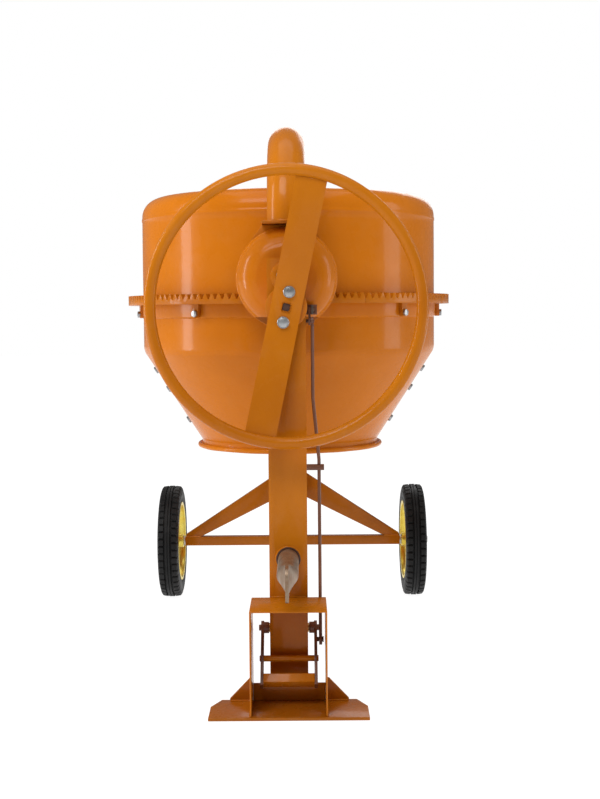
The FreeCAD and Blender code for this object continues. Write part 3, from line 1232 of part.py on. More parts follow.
HINGE_Z = "hood_z + hood_height + 7"
hinge_y = number("plate_y + 4")
hinge_z = number(HINGE_Z)
fixed, moving, pins = [], [], []
for middle in (-130, 130):
    knuckle = Part.makeCylinder(6, 20, Vector(middle - 20.2, hinge_y, hinge_z), Vector(1, 0, 0))
    leaf = Part.makeBox(20, 3, 7, Vector(middle - 20.2, number("plate_y"), hinge_z - 6.9))
    bore = Part.makeCylinder(3.09, 60, Vector(middle - 30, hinge_y, hinge_z), Vector(1, 0, 0))
    fixed.append(knuckle.fuse(leaf).cut(bore))
    ring = Part.makeCylinder(6, 20, Vector(middle + 0.2, hinge_y, hinge_z), Vector(1, 0, 0))
    strap = Part.makeBox(20, 34, 3, Vector(middle + 0.2, hinge_y, hinge_z - 6.8))
    moving.append(ring.fuse(strap).cut(bore))
    pins.append(Part.makeCylinder(3, 42, Vector(middle - 21, hinge_y, hinge_z), Vector(1, 0, 0)))
keep(feature("hinge_fixed", Part.makeCompound(fixed + pins)), "hood_hinges")
keep(group("hood_set", hood, feature("hinge_moving", Part.makeCompound(moving))), "motor_hood")

# ---------------------------------------------------------------- checks and export
doc.recompute()
faults = []
for item in doc.Objects:
    if "Invalid" in item.State or "Error" in item.State:
        faults.append("%s: %s" % (item.Name, item.State))
for piece in parts:
    if piece.Shape.isNull() or not piece.Shape.isValid():
        faults.append("%s: shape is null or not valid" % piece.Label)
if faults:
    raise SystemExit("\n".join(faults))

os.makedirs("parts", exist_ok=True)
for piece in parts:
    piece.Shape.exportStep("parts/%s.step" % piece.Label)
print("%d sub-parts" % len(parts))
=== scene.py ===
import json
import math

import bmesh
import bpy
from mathutils import Matrix, Vector, noise


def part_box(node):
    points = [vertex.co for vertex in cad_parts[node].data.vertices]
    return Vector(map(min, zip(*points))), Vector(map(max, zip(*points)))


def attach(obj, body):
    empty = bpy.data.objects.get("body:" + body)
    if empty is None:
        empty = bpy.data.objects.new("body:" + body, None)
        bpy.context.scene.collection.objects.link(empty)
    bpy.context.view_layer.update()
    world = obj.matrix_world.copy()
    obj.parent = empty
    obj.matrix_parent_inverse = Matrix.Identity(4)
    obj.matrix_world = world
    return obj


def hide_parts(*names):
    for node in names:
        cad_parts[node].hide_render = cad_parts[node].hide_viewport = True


# Looks of a towable concrete mixer, in metres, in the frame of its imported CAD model.
# -Y is the operator's side. Every piece stands where the CAD piece that it replaces stands.

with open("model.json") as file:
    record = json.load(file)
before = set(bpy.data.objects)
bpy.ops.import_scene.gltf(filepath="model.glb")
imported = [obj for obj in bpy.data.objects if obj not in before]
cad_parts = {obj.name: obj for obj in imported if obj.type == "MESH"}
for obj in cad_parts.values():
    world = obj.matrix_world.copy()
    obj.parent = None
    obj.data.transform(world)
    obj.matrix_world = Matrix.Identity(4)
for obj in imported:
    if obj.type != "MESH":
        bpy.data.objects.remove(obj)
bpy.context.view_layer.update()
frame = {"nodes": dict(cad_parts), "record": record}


# ---------------------------------------------------------------- sizes, from the frame
def middle(node, axis):
    """The middle of a CAD node's box along one axis: 0, 1 or 2 for X, Y or Z."""
    low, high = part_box(node)
    return 0.5 * (low[axis] + high[axis])


low_head, high_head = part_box("drum_head_shell")
low_cone, high_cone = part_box("drum_cone_shell")
low_rim, high_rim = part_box("mouth_ring")
low_ring, high_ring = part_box("handwheel_ring")
low_tube, high_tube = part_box("yoke_tube")
low_cover, high_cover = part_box("tilt_gear_cover")
low_tyre, high_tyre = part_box("tyre_right")
low_column, high_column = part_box("front_column")
low_guard, high_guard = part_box("pedal_guard")
high_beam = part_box("axle_beam")[1]

# The drum, mouth down: its head's shell above, its cone's below, lapped under the gear.
DRUM_R = 0.448
SHEET = 0.004
DRUM_TOP = high_head[2]
SEAM_Z = low_head[2]
RING_SEAT = high_cone[2]
STRAIGHT_TALL = 0.460
BELT_Z = DRUM_TOP - STRAIGHT_TALL
MOUTH_Z = low_cone[2]
COLLAR_TALL = 0.024
NECK_Z = MOUTH_Z + COLLAR_TALL
NECK_R = 0.272
SHOULDER = 0.055
BEAD_LOW = DRUM_TOP - SHOULDER - 0.016
CONE_ANGLE = math.degrees(math.atan2(DRUM_R - NECK_R, BELT_Z - NECK_Z))
DRUM_STEPS = 240

# The yoke's bent tube, over the drum from leg to leg.
YOKE_R = 0.051
LEG_Y = 0.5 * (high_tube[1] - low_tube[1]) - YOKE_R
LEG_Z = low_tube[2]
YOKE_Z = high_tube[2] - YOKE_R
BEND = 0.220

# The handwheel's pipe and the flat bar across it.
TILT_Z = middle("front_trunnion", 2)
HAND_Z = middle("handwheel_shaft", 2)
RING_Y = 0.5 * (low_ring[1] + high_ring[1])
RING_TUBE = 0.5 * (high_ring[1] - low_ring[1])
RING_R = high_ring[0] - RING_TUBE
PIPE_R = RING_R - 0.0008
BAR_LEAN = math.radians(11.8)
BAR_Y = -0.690

# The frame, the pedal and the axle.
OUTER_Y = low_column[1]
COLUMN_HALF = high_column[0]
TOW_Z = 0.378
FOOT_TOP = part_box("foot_plate")[1][2]
WEB_Y = middle("foot_webs", 1)
PEDAL_Y = -0.638
PEDAL_Z = middle("pedal_bushes", 2)
AXLE_Y = middle("axle_beam", 1)
AXLE_Z = middle("axle_beam", 2)
BEAM_TOP = high_beam[2]

# The road wheels and the motor.
TYRE_R = high_tyre[2] - AXLE_Z
TYRE_HALF = 0.5 * (high_tyre[0] - low_tyre[0])
WHEEL_X = 0.5 * (high_tyre[0] + low_tyre[0])
RIM_R = 0.135
MOTOR_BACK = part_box("motor_body")[0][1]
MOTOR_Z = middle("motor_shaft", 2)


# ---------------------------------------------------------------- mesh helpers
def piece_from(name, bm, material, smooth=math.radians(35)):
    """A mesh object from a bmesh, shaded smooth except at edges sharper than the angle."""
    mesh = bpy.data.meshes.new(name)
    bmesh.ops.recalc_face_normals(bm, faces=bm.faces)
    bm.to_mesh(mesh)
    bm.free()
    piece = bpy.data.objects.new(name, mesh)
    bpy.context.scene.collection.objects.link(piece)
    mesh.materials.append(material)
    shade(piece, smooth)
    return piece


def shade(piece, angle):
    """Smooth shading, kept sharp at edges that turn by more than the angle."""
    mesh = piece.data
    mesh.polygons.foreach_set("use_smooth", [True] * len(mesh.polygons))
    sharp = bmesh.new()
    sharp.from_mesh(mesh)
    for edge in sharp.edges:
        if len(edge.link_faces) == 2:
            edge.smooth = edge.calc_face_angle(0) < angle
    sharp.to_mesh(mesh)
    sharp.free()


def apply_modifiers(piece):
    """Replaces the mesh by what its modifiers make of it."""
    graph = bpy.context.evaluated_depsgraph_get()
    mesh = bpy.data.meshes.new_from_object(piece.evaluated_get(graph))
    piece.modifiers.clear()
    piece.data = mesh


def bevel(piece, width, segments=2, angle=math.radians(32)):
    """Rounds every edge that turns by more than the angle."""
    mod = piece.modifiers.new("edges", "BEVEL")
    mod.width = width
    mod.segments = segments
    mod.limit_method = "ANGLE"
    mod.angle_limit = angle
    mod.harden_normals = False
    apply_modifiers(piece)
    shade(piece, math.radians(40))


def stand_for(piece, body, *nodes):
    """Lets a piece ride on a body in the place of CAD nodes."""
    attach(piece, body)
    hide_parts(*nodes)


def body_of_node(node):
    """The body that the record gives a CAD node to."""
    for body, nodes in frame["record"]["behaviour"]["bodies"].items():
        if node in nodes:
            return body
    raise KeyError(node)


def slot_of_node(node):
    """The material slot that the record gives a CAD node."""
    for part in frame["record"]["subparts"]:
        if part["node"] == node:
            return part["material_slot"]
    raise KeyError(node)


def refine(node, material, width=0.0012, segments=2):
    """A CAD node's own shape with its flat faces cleaned and its edges rounded, as real
    pressed, cut or cast edges are."""
    source = frame["nodes"][node]
    bm = bmesh.new()
    bm.from_mesh(source.data)
    bmesh.ops.remove_doubles(bm, verts=bm.verts, dist=0.00002)
    bmesh.ops.dissolve_limit(bm, angle_limit=math.radians(0.6), verts=bm.verts, edges=bm.edges)
    piece = piece_from(node + "_finished", bm, material)
    bevel(piece, width, segments)
    stand_for(piece, body_of_node(node), node)
    return piece


def stitch(bm, ring, after):
    """Faces between two rings that have as many points."""
    count = len(ring)
    for k in range(count):
        other = (k + 1) % count
        bm.faces.new([ring[k], ring[other], after[other], after[k]])


def cap(bm, rings):
    """Flat faces over the first and the last ring."""
    bm.faces.new(rings[0])
    bm.faces.new(rings[-1])


def circle(bm, centre, radius, up, side, sides):
    """A ring of points round a centre, in the plane of two unit vectors."""
    angles = [2 * math.pi * k / sides for k in range(sides)]
    return [bm.verts.new(centre + radius * (math.cos(angle) * up + math.sin(angle) * side))
            for angle in angles]


def lathe(name, profile, material, steps=160, axis="Z", at=(0, 0, 0)):
    """A solid ring: a closed outline of (radius, height) points swept round an axis."""
    bm = bmesh.new()
    rings = []
    turn = {"Z": Matrix(), "Y": Matrix.Rotation(math.radians(-90), 4, "X"),
            "X": Matrix.Rotation(math.radians(90), 4, "Y")}[axis]
    for radius, height in profile:
        if radius < 1e-6:
            point = turn @ Vector((0, 0, height)) + Vector(at)
            rings.append([bm.verts.new(point)] * steps)
            continue
        ring = []
        for step in range(steps):
            angle = 2 * math.pi * step / steps
            point = turn @ Vector((radius * math.cos(angle), radius * math.sin(angle), height))
            ring.append(bm.verts.new(point + Vector(at)))
        rings.append(ring)
    for ring, after in zip(rings, rings[1:] + rings[:1]):
        for step in range(steps):
            other = (step + 1) % steps
            corners = [ring[step], ring[other], after[other], after[step]]
            corners = [v for k, v in enumerate(corners) if v not in corners[:k]]
            if len(corners) > 2:
                bm.faces.new(corners)
    return piece_from(name, bm, material)


def arc(centre, radius, start, end, steps):
    """Points of an arc as (radius from axis, height), angles in degrees."""
    points = []
    for step in range(steps + 1):
        angle = math.radians(start + (end - start) * step / steps)
        points.append((centre[0] + radius * math.cos(angle), centre[1] + radius * math.sin(angle)))
    return points


def sweep(path, radii, sides, closed=False):
    """A bmesh of rings along points, one radius each, with flat ends unless it is closed."""
    bm = bmesh.new()
    last = len(path) - 1
    rings = []
    up = None
    for index, point in enumerate(path):
        before = path[index - 1] if index or closed else point
        after = path[(index + 1) % len(path)] if index < last or closed else point
        ahead = (Vector(after) - Vector(before)).normalized()
        if up is None:
            up = ahead.orthogonal().normalized()
        up = (up - ahead * up.dot(ahead)).normalized()
        rings.append(circle(bm, Vector(point), radii[index], up, ahead.cross(up), sides))
    for ring, after in zip(rings, rings[1:] + rings[:1] if closed else rings[1:]):
        stitch(bm, ring, after)
    if not closed:
        cap(bm, rings)
    return bm


def pipe(name, path, radius, material, sides=32, closed=False):
    """A solid round bar along points."""
    return piece_from(name, sweep(path, [radius] * len(path), sides, closed), material)


def dent(piece, depth, scale, seed):
    """The slight waviness of hand-worked sheet: every point moves along its normal."""
    mesh = piece.data
    shift = Vector((seed, seed * 0.7, seed * 1.3))
    normals = [vertex.normal.copy() for vertex in mesh.vertices]
    for vertex, normal in zip(mesh.vertices, normals):
        vertex.co += normal * depth * noise.noise(vertex.co * scale + shift)


def weld(name, path, width, body, material, seed=0):
    """A weld bead: a low bar of overlapping ripples along a line of points."""
    lengths = [(Vector(b) - Vector(a)).length for a, b in zip(path, path[1:])]
    total = sum(lengths)
    count = max(int(total / (width * 0.55)), 4)
    points = []
    for step in range(count + 1):
        along = total * step / count
        for start, end, length in zip(path, path[1:], lengths):
            if along <= length + 1e-9:
                points.append(Vector(start).lerp(Vector(end), along / length))
                break
            along -= length
    swells = [0.82 + 0.18 * (index % 2) + 0.12 * noise.noise(point * 60 + Vector((seed, 0, 0)))
              for index, point in enumerate(points)]
    bm = sweep(points, [0.5 * width * swell for swell in swells], 8)
    piece = piece_from(name, bm, material, math.radians(80))
    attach(piece, body)
    return piece


# ---------------------------------------------------------------- materials
PRIMER_CHIP = (0.10, 0.035, 0.012)
CEMENT_DUST = (0.52, 0.38, 0.22)
RUST = (0.20, 0.085, 0.035)
ROAD_DUST = (0.030, 0.027, 0.023)
WORN_METAL = (0.16, 0.13, 0.11)
WHITE = (1, 1, 1, 1)


class Nodes:
    """Short calls for building one material's nodes."""

    def __init__(self, name):
        self.material = bpy.data.materials.new(name)
        self.material.use_nodes = True
        self.tree = self.material.node_tree
        self.shader = self.tree.nodes["Principled BSDF"]
        self.place = self.tree.nodes.new("ShaderNodeTexCoord").outputs["Object"]

    def set(self, **values):
        for label, value in values.items():
            self.shader.inputs[label.replace("_", " ")].default_value = value

    def link(self, source, target):
        self.tree.links.new(source, target)

    def noise(self, scale, detail=4.0, rough=0.55, stretch=None):
        node = self.tree.nodes.new("ShaderNodeTexNoise")
        node.inputs["Scale"].default_value = scale
        node.inputs["Detail"].default_value = detail
        node.inputs["Roughness"].default_value = rough
        source = self.place
        if stretch:
            mapping = self.tree.nodes.new("ShaderNodeMapping")
            mapping.inputs["Scale"].default_value = stretch
            self.link(source, mapping.inputs["Vector"])
            source = mapping.outputs["Vector"]
        self.link(source, node.inputs["Vector"])
        return node.outputs["Fac"]

    def ramp(self, source, *stops):
        node = self.tree.nodes.new("ShaderNodeValToRGB")
        ramp = node.color_ramp
        while len(ramp.elements) < len(stops):
            ramp.elements.new(0.5)
        for element, (position, colour) in zip(ramp.elements, stops):
            element.position = position
            element.color = (*colour, 1) if len(colour) == 3 else colour
        self.link(source, node.inputs["Fac"])
        return node.outputs["Color"]

    def levels(self, source, start, end, low, high):
        node = self.tree.nodes.new("ShaderNodeMapRange")
        for label, value in (("From Min", start), ("From Max", end), ("To Min", low),
                             ("To Max", high)):
            node.inputs[label].default_value = value
        self.link(source, node.inputs["Value"])
        return node.outputs["Result"]

    def mix(self, factor, first, second):
        """Mixes two colours, each given as a socket or a plain colour."""
        node = self.tree.nodes.new("ShaderNodeMix")
        node.data_type = "RGBA"
        self.link(factor, node.inputs["Factor"])
        for socket, colour in ((node.inputs[6], first), (node.inputs[7], second)):
            if hasattr(colour, "is_output"):
                self.link(colour, socket)
            else:
                socket.default_value = (*colour, 1)
        return node.outputs[2]

    def bump(self, height, strength, distance, before=None):
        node = self.tree.nodes.new("ShaderNodeBump")
        node.inputs["Strength"].default_value = strength
        node.inputs["Distance"].default_value = distance
        self.link(height, node.inputs["Height"])
        if before:
            self.link(before, node.inputs["Normal"])
        return node.outputs["Normal"]

    def height_above(self):
        """The height above the ground, in metres."""
        split = self.tree.nodes.new("ShaderNodeSeparateXYZ")
        self.link(self.place, split.inputs[0])
        return split.outputs["Z"]

    def done(self, colour, roughness, normal=None):
        for socket, value in (("Base Color", colour), ("Roughness", roughness)):
            if hasattr(value, "is_output"):
                self.link(value, self.shader.inputs[socket])
            elif socket == "Base Color":
                self.shader.inputs[socket].default_value = (*value, 1)
            else:
                self.shader.inputs[socket].default_value = value
        if normal:
            self.link(normal, self.shader.inputs["Normal"])
        return self.material


def enamel(name, light, deep, dust, cast=False):
    """Glossy brushed-on enamel: slow colour drift, brush and roller texture, a film of cement
    dust that is thicker low down, and small chips down to dark primer."""
    n = Nodes(name)
    drift = n.ramp(n.noise(3.1, 3), (0.32, deep), (0.7, light))
    runs = n.noise(38, 3, stretch=(1, 1, 0.18))
    colour = n.mix(n.levels(runs, 0.35, 0.7, 0, 0.22), drift, deep)
    chips = n.levels(n.noise(95, 5, 0.7), 0.735, 0.75, 0, 0.85)
    colour = n.mix(chips, colour, PRIMER_CHIP)
    dusty = n.levels(n.noise(16, 6, 0.65), 0.52, 0.78, 0, dust)
    low = n.levels(n.height_above(), 0.0, 0.5, 1.0, 0.35)
    product = n.tree.nodes.new("ShaderNodeMath")
    product.operation = "MULTIPLY"
    n.link(dusty, product.inputs[0])
    n.link(low, product.inputs[1])
    colour = n.mix(product.outputs[0], colour, CEMENT_DUST)
    rough = n.levels(n.noise(24, 4), 0.3, 0.75, 0.20, 0.38)
    peel = n.bump(n.noise(420, 2), 0.10, 0.0006)
    waves = n.bump(runs, 0.14, 0.0010, peel)
    normal = n.bump(n.noise(210, 4, 0.7), 0.35, 0.0012, waves) if cast else waves
    n.set(Coat_Weight=0.16, Coat_Roughness=0.09, Specular_IOR_Level=0.08)
    return n.done(colour, rough, normal)


def bare_steel(name, light, dark, rust=0.0, rough=(0.22, 0.42), turned=False):
    """Metal with fine streaks, round its axis where it is turned, and rust spots if any."""
    n = Nodes(name)
    colour = n.ramp(n.noise(26, 5), (0.3, dark), (0.72, light))
    if rust:
        spots = n.levels(n.noise(31, 7, 0.7), 0.62 - 0.3 * rust, 0.78 - 0.1 * rust, 0, 0.8)
        colour = n.mix(spots, colour, RUST)
    streak = n.noise(60, 4, stretch=(1, 0.05, 1) if turned else (1, 1, 0.1))
    n.set(Metallic=0.92 if not rust else 0.7)
    normal = n.bump(streak, 0.12, 0.0005)
    return n.done(colour, n.levels(streak, 0.3, 0.7, *rough), normal)


def gold_zinc(name):
    """Yellow passivated zinc: a thin coat whose colour drifts from gold to green and pink."""
    n = Nodes(name)
    shift = n.ramp(n.noise(14, 3), (0.25, (0.60, 0.42, 0.05)), (0.5, (0.80, 0.62, 0.10)),
                   (0.75, (0.66, 0.60, 0.16)))
    n.set(Metallic=0.85)
    normal = n.bump(n.noise(160, 3), 0.10, 0.0005)
    return n.done(shift, n.levels(n.noise(40, 4), 0.3, 0.7, 0.24, 0.42), normal)


def rubber(name, base):
    """Matt rubber with a fine grain and some road dust."""
    n = Nodes(name)
    dusty = n.levels(n.noise(22, 6, 0.7), 0.5, 0.8, 0, 0.20)
    colour = n.mix(dusty, base, ROAD_DUST)
    normal = n.bump(n.noise(320, 3), 0.28, 0.0007)
    n.set(Specular_IOR_Level=0.22)
    return n.done(colour, n.levels(n.noise(30, 4), 0.3, 0.7, 0.42, 0.68), normal)


def plain_metal_paint(name, light, deep):
    """Dull paint, worn through to metal in spots."""
    n = Nodes(name)
    colour = n.ramp(n.noise(9, 5), (0.3, deep), (0.7, light))
    worn = n.levels(n.noise(58, 6, 0.7), 0.66, 0.72, 0, 0.6)
    colour = n.mix(worn, colour, WORN_METAL)
    normal = n.bump(n.noise(260, 3), 0.18, 0.0006)
    n.set(Coat_Weight=0.2, Coat_Roughness=0.25)
    return n.done(colour, n.levels(n.noise(30, 4), 0.3, 0.7, 0.34, 0.55), normal)


ORANGE = enamel("orange_enamel", (0.60, 0.172, 0.005), (0.50, 0.138, 0.003), 0.10)
FRAME_ORANGE = enamel("frame_enamel", (0.55, 0.170, 0.005), (0.44, 0.122, 0.003), 0.12)
# A darker copy of the frame's enamel for the foot and the axle: painted shade low on the frame.
SHADED_LOW_ORANGE = enamel("lower_frame_enamel_painted_shade", (0.43, 0.126, 0.004), (0.32, 0.088, 0.003), 0.08)
CAST_ORANGE = enamel("cast_enamel", (0.52, 0.155, 0.005), (0.40, 0.108, 0.003), 0.20, cast=True)
STEEL = bare_steel("turned_steel", (0.62, 0.61, 0.59), (0.42, 0.41, 0.40), turned=True)
ZINC = bare_steel("bright_zinc", (0.50, 0.51, 0.52), (0.30, 0.31, 0.32), rough=(0.24, 0.42))
GOLD = gold_zinc("yellow_zinc")
GALVANISED = bare_steel("galvanised_pipe", (0.36, 0.27, 0.19), (0.20, 0.13, 0.08), rust=0.75,
                        rough=(0.34, 0.6))
RUBBER = rubber("tyre_rubber", (0.006, 0.006, 0.0062))
BELT = rubber("belt_rubber", (0.025, 0.024, 0.023))
BROWN = plain_metal_paint("linkage_paint", (0.20, 0.062, 0.020), (0.10, 0.030, 0.011))
# Near-black paint that stands for painted shade: in the tow pipe's guide and in the handwheel
# shaft's socket.
PAINTED_SHADE = plain_metal_paint("painted_shadow_black", (0.075, 0.022, 0.008), (0.040, 0.013, 0.006))
GREY = plain_metal_paint("motor_enamel", (0.17, 0.21, 0.25), (0.09, 0.115, 0.14))
BRONZE = bare_steel("bush_bronze", (0.60, 0.40, 0.18), (0.42, 0.26, 0.10))
LINING = plain_metal_paint("plunger_steel", (0.11, 0.070, 0.045), (0.05, 0.032, 0.022))
SPRING = bare_steel("spring_steel", (0.30, 0.30, 0.31), (0.16, 0.16, 0.17))
BY_SLOT = {"orange_paint": FRAME_ORANGE, "orange_cast": CAST_ORANGE, "shaft_steel": STEEL,
           "zinc": ZINC, "gold_zinc": GOLD, "galvanised": GALVANISED, "tyre_rubber": RUBBER,
           "belt_rubber": BELT, "brown_primer": BROWN, "motor_grey": GREY, "bronze": BRONZE,
           "friction_lining": LINING, "spring_steel": SPRING}

# The nodes that get the darker enamel of painted shade.
SHADED_LOW_NODES = ("foot_plate", "foot_webs", "axle_beam", "axle_braces")


def look_of(node):
    """The look of a CAD node's slot, with a darker enamel low on the frame as painted shade."""
    return SHADED_LOW_ORANGE if node in SHADED_LOW_NODES else BY_SLOT[slot_of_node(node)]


for node, thing in frame["nodes"].items():
    thing.data.materials.clear()
    thing.data.materials.append(look_of(node))


# ---------------------------------------------------------------- drum
def along_wall(top, low, count):
    """Evenly spaced heights between two heights, so that sheet can be dented."""
    return [top + (low - top) * step / count for step in range(1, count)]


def head_profile():
    """The head's flat crown, rolled shoulder, raised bead and straight wall."""
    crown_step, bead_r, bead_in, bead_half, bead_angle = 0.035, 0.01275, 0.01125, 0.006, 28
    bend = (DRUM_R - SHOULDER, DRUM_TOP - SHOULDER)
    outer = [(0, DRUM_TOP)] + [(crown_step * k, DRUM_TOP) for k in range(1, 11)]
    outer += arc(bend, SHOULDER, 90, 0, 14)
    outer += arc((DRUM_R - bead_in, BEAD_LOW + bead_half), bead_r, bead_angle, -bead_angle, 8)
    outer += [(DRUM_R, z) for z in along_wall(BEAD_LOW, SEAM_Z, 14)]
    outer += [(DRUM_R, SEAM_Z), (DRUM_R - SHEET, SEAM_Z)]
    inner = [(DRUM_R - SHEET, DRUM_TOP - SHOULDER - 0.1)]
    inner += arc(bend, SHOULDER - SHEET, 0, 90, 10)
    inner += [(0, DRUM_TOP - SHEET)]
    return outer + inner


head = lathe("drum_head_sheet", head_profile(), ORANGE, DRUM_STEPS)
dent(head, 0.0007, 5.0, 3)
stand_for(head, "drum", "drum_head_shell")


def cone_profile():
    """The collar, the cone with its rounded bend, and the band that laps the head's shell."""
    bend, throat = 0.042, 0.016
    lap, hem, band_tall, belt_tall, wall_lift = 0.0003, 0.002, 0.036, 0.045, 0.002
    half_tan = math.tan(math.radians(CONE_ANGLE / 2))
    run, low_run = bend * half_tan, throat * half_tan
    outer = [(NECK_R, MOUTH_Z), (NECK_R, NECK_Z - low_run)]
    outer += arc((NECK_R + throat, NECK_Z - low_run), throat, 180, 180 - CONE_ANGLE, 5)
    tan = math.tan(math.radians(CONE_ANGLE))
    for step in range(1, 14):
        height = NECK_Z + (BELT_Z - NECK_Z) * step / 14
        outer.append((NECK_R + tan * (height - NECK_Z), height))
    outer += arc((DRUM_R - bend, BELT_Z + run), bend, -CONE_ANGLE, 0, 8)
    band = RING_SEAT - band_tall
    outer += [(DRUM_R, BELT_Z + belt_tall), (DRUM_R, band - SHEET)]
    outer += arc((DRUM_R + SHEET - hem, band), hem, -90, 0, 3)
    outer += [(DRUM_R + SHEET, RING_SEAT), (DRUM_R + lap, RING_SEAT),
              (DRUM_R + lap, SEAM_Z), (DRUM_R - SHEET, SEAM_Z),
              (DRUM_R - SHEET, BELT_Z + wall_lift), (NECK_R - SHEET, NECK_Z + wall_lift),
              (NECK_R - SHEET, MOUTH_Z)]
    return outer


cone = lathe("drum_cone_sheet", cone_profile(), ORANGE, DRUM_STEPS)
stand_for(cone, "drum", "drum_cone_shell")

roll_z = 0.5 * (low_rim[2] + high_rim[2])
roll_r = 0.5 * (high_rim[2] - low_rim[2])
roll = arc((high_rim[0] - roll_r, roll_z), roll_r, 0, 345, 23)
mouth = lathe("mouth_rolled_rim", roll, ORANGE, DRUM_STEPS)
dent(mouth, 0.0008, 14, 5)
stand_for(mouth, "drum", "mouth_ring")


def round_path(radius, height, start=0, end=360, steps=120, axis="Z", centre=(0, 0)):
    """Points on an arc round Z, or round Y where the height is the place along Y."""
    points = []
    for step in range(steps + 1):
        angle = math.radians(start + (end - start) * step / steps)
        across, up = centre[0] + radius * math.cos(angle), centre[1] + radius * math.sin(angle)
        points.append((across, up, height) if axis == "Z" else (across, height, up))
    return points


SEAM_X, CONE_SEAM_X = -0.028, 0.09
weld("drum_seam_weld", [(SEAM_X, DRUM_R + 0.0005, RING_SEAT + 0.03),
                        (SEAM_X, DRUM_R + 0.0005, BEAD_LOW - 0.004)], 0.005, "drum", ORANGE, 2)
neck_y = math.sqrt(NECK_R ** 2 - CONE_SEAM_X ** 2)
belt_y = math.sqrt(DRUM_R ** 2 - CONE_SEAM_X ** 2) - 0.004
weld("cone_seam_weld", [(CONE_SEAM_X, neck_y, NECK_Z + 0.004),
                        (CONE_SEAM_X, belt_y, BELT_Z - 0.006)], 0.005, "drum", ORANGE, 4)
weld("mouth_collar_weld", round_path(NECK_R + 0.0012, high_rim[2] - 0.0005), 0.0045, "drum",
     ORANGE, 6)

refine("ring_gear", CAST_ORANGE, 0.0009, 2)
refine("drum_spindle", CAST_ORANGE, 0.0016, 3)
refine("drum_bolts", ZINC, 0.0004, 2)
refine("mixing_blades", FRAME_ORANGE, 0.0012, 2)


def washer(name, at, facing, radius, bore, thick, body, material):
    """A punched washer with rolled edges, flat on its seat."""
    soft = thick * 0.3
    profile = [(bore, 0), (radius - soft, 0), (radius, soft), (radius, thick - soft),
               (radius - soft, thick), (bore, thick)]
    ring = lathe(name, profile, material, 40)
    turn = Vector(facing).to_track_quat("Z", "Y").to_matrix().to_4x4()
    ring.data.transform(Matrix.Translation(Vector(at)) @ turn)
    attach(ring, body)
    return ring


# ---------------------------------------------------------------- yoke
def yoke_path():
    """Up the front leg, round its bend, along the top and down the rear leg the same way."""
    bend_z = YOKE_Z - BEND
    front = [(0, -LEG_Y, LEG_Z + (bend_z - LEG_Z) * step / 3) for step in range(3)]
    for step in range(25):
        angle = math.radians(180 - 90 * step / 24)
        front.append((0, -LEG_Y + BEND + BEND * math.cos(angle), bend_z + BEND * math.sin(angle)))
    straight = LEG_Y - BEND
    top = [(0, -straight + 2 * straight * step / 12, YOKE_Z) for step in range(1, 12)]
    return front + top + [(0, -y, z) for _, y, z in reversed(front[:-1])]


yoke = pipe("yoke_bent_tube", yoke_path(), YOKE_R, FRAME_ORANGE, 64)
stand_for(yoke, "yoke", "yoke_tube")
for side, end in ((-1, "front"), (1, "rear")):
    refine("yoke_end_plate_" + end, CAST_ORANGE, 0.0018, 3)
    weld("yoke_leg_weld_" + end, round_path(YOKE_R + 0.0008, LEG_Z + 0.001,
                                            centre=(0, side * LEG_Y), steps=60),
         0.007, "yoke", FRAME_ORANGE, 8 + side)
refine("drum_bearing_housing", CAST_ORANGE, 0.0022, 3)
for node in ("front_trunnion", "rear_trunnion", "pinion_shaft_bushes", "tilt_gear"):
    refine(node, look_of(node), 0.0008, 2)


# ---------------------------------------------------------------- drive
for node in ("drive_pinion", "pinion_shaft", "driven_pulley", "motor_pulley", "motor_shaft",
             "drive_belt", "tilt_pinion"):
    refine(node, look_of(node), 0.0007, 2)


def socket_shaft():
    """The handwheel's shaft: its painted square end has a square socket, coloured near-black as
    painted shade.
    """
    shaft = refine("handwheel_shaft", STEEL, 0.0007, 2)
    shaft.data.materials.append(FRAME_ORANGE)
    shaft.data.materials.append(PAINTED_SHADE)
    bm = bmesh.new()
    bm.from_mesh(shaft.data)
    painted_length, wall, socket_deep = 0.022, 0.0042, 0.0060
    tip = min(vertex.co.y for vertex in bm.verts)
    for face in bm.faces:
        if face.calc_center_median().y < tip + painted_length:
            face.material_index = 1
    end = [face for face in bm.faces if face.calc_center_median().y < tip + 0.0001]
    bmesh.ops.inset_region(bm, faces=end, thickness=wall, depth=0.0)
    for vertex in {v for face in end for v in face.verts}:
        vertex.co.y += socket_deep
    # The socket's faces take the near-black of painted shade.
    for face in end:
        face.material_index = 2
    bm.to_mesh(shaft.data)
    bm.free()
    shade(shaft, math.radians(40))


socket_shaft()


# ---------------------------------------------------------------- handwheel
def on_ring(angle, radius):
    """A point on the handwheel's ring, at an angle from +X towards +Z."""
    return Vector((radius * math.cos(angle), RING_Y, HAND_Z + radius * math.sin(angle)))


def wheel_path(steps=200, uneven=0.0005):
    """The ring's middle line, which hand bending left a little uneven."""
    angles = [2 * math.pi * step / steps for step in range(steps)]
    return [on_ring(angle, PIPE_R + uneven * math.sin(5 * angle + 1)) for angle in angles]


wheel = pipe("handwheel_bent_pipe", wheel_path(), RING_TUBE - 0.0004, FRAME_ORANGE, closed=True)
stand_for(wheel, "handwheel", "handwheel_ring")
refine("handwheel_spoke", FRAME_ORANGE, 0.0014, 3)
refine("handwheel_hub", CAST_ORANGE, 0.0014, 3)
refine("handwheel_bolts", ZINC, 0.0004, 2)


def on_bar(along, aside, y):
    """A point on the leaning bar: along it from the hub, and to its right."""
    return (along * math.sin(BAR_LEAN) + aside * math.cos(BAR_LEAN), y,
            HAND_Z + along * math.cos(BAR_LEAN) - aside * math.sin(BAR_LEAN))


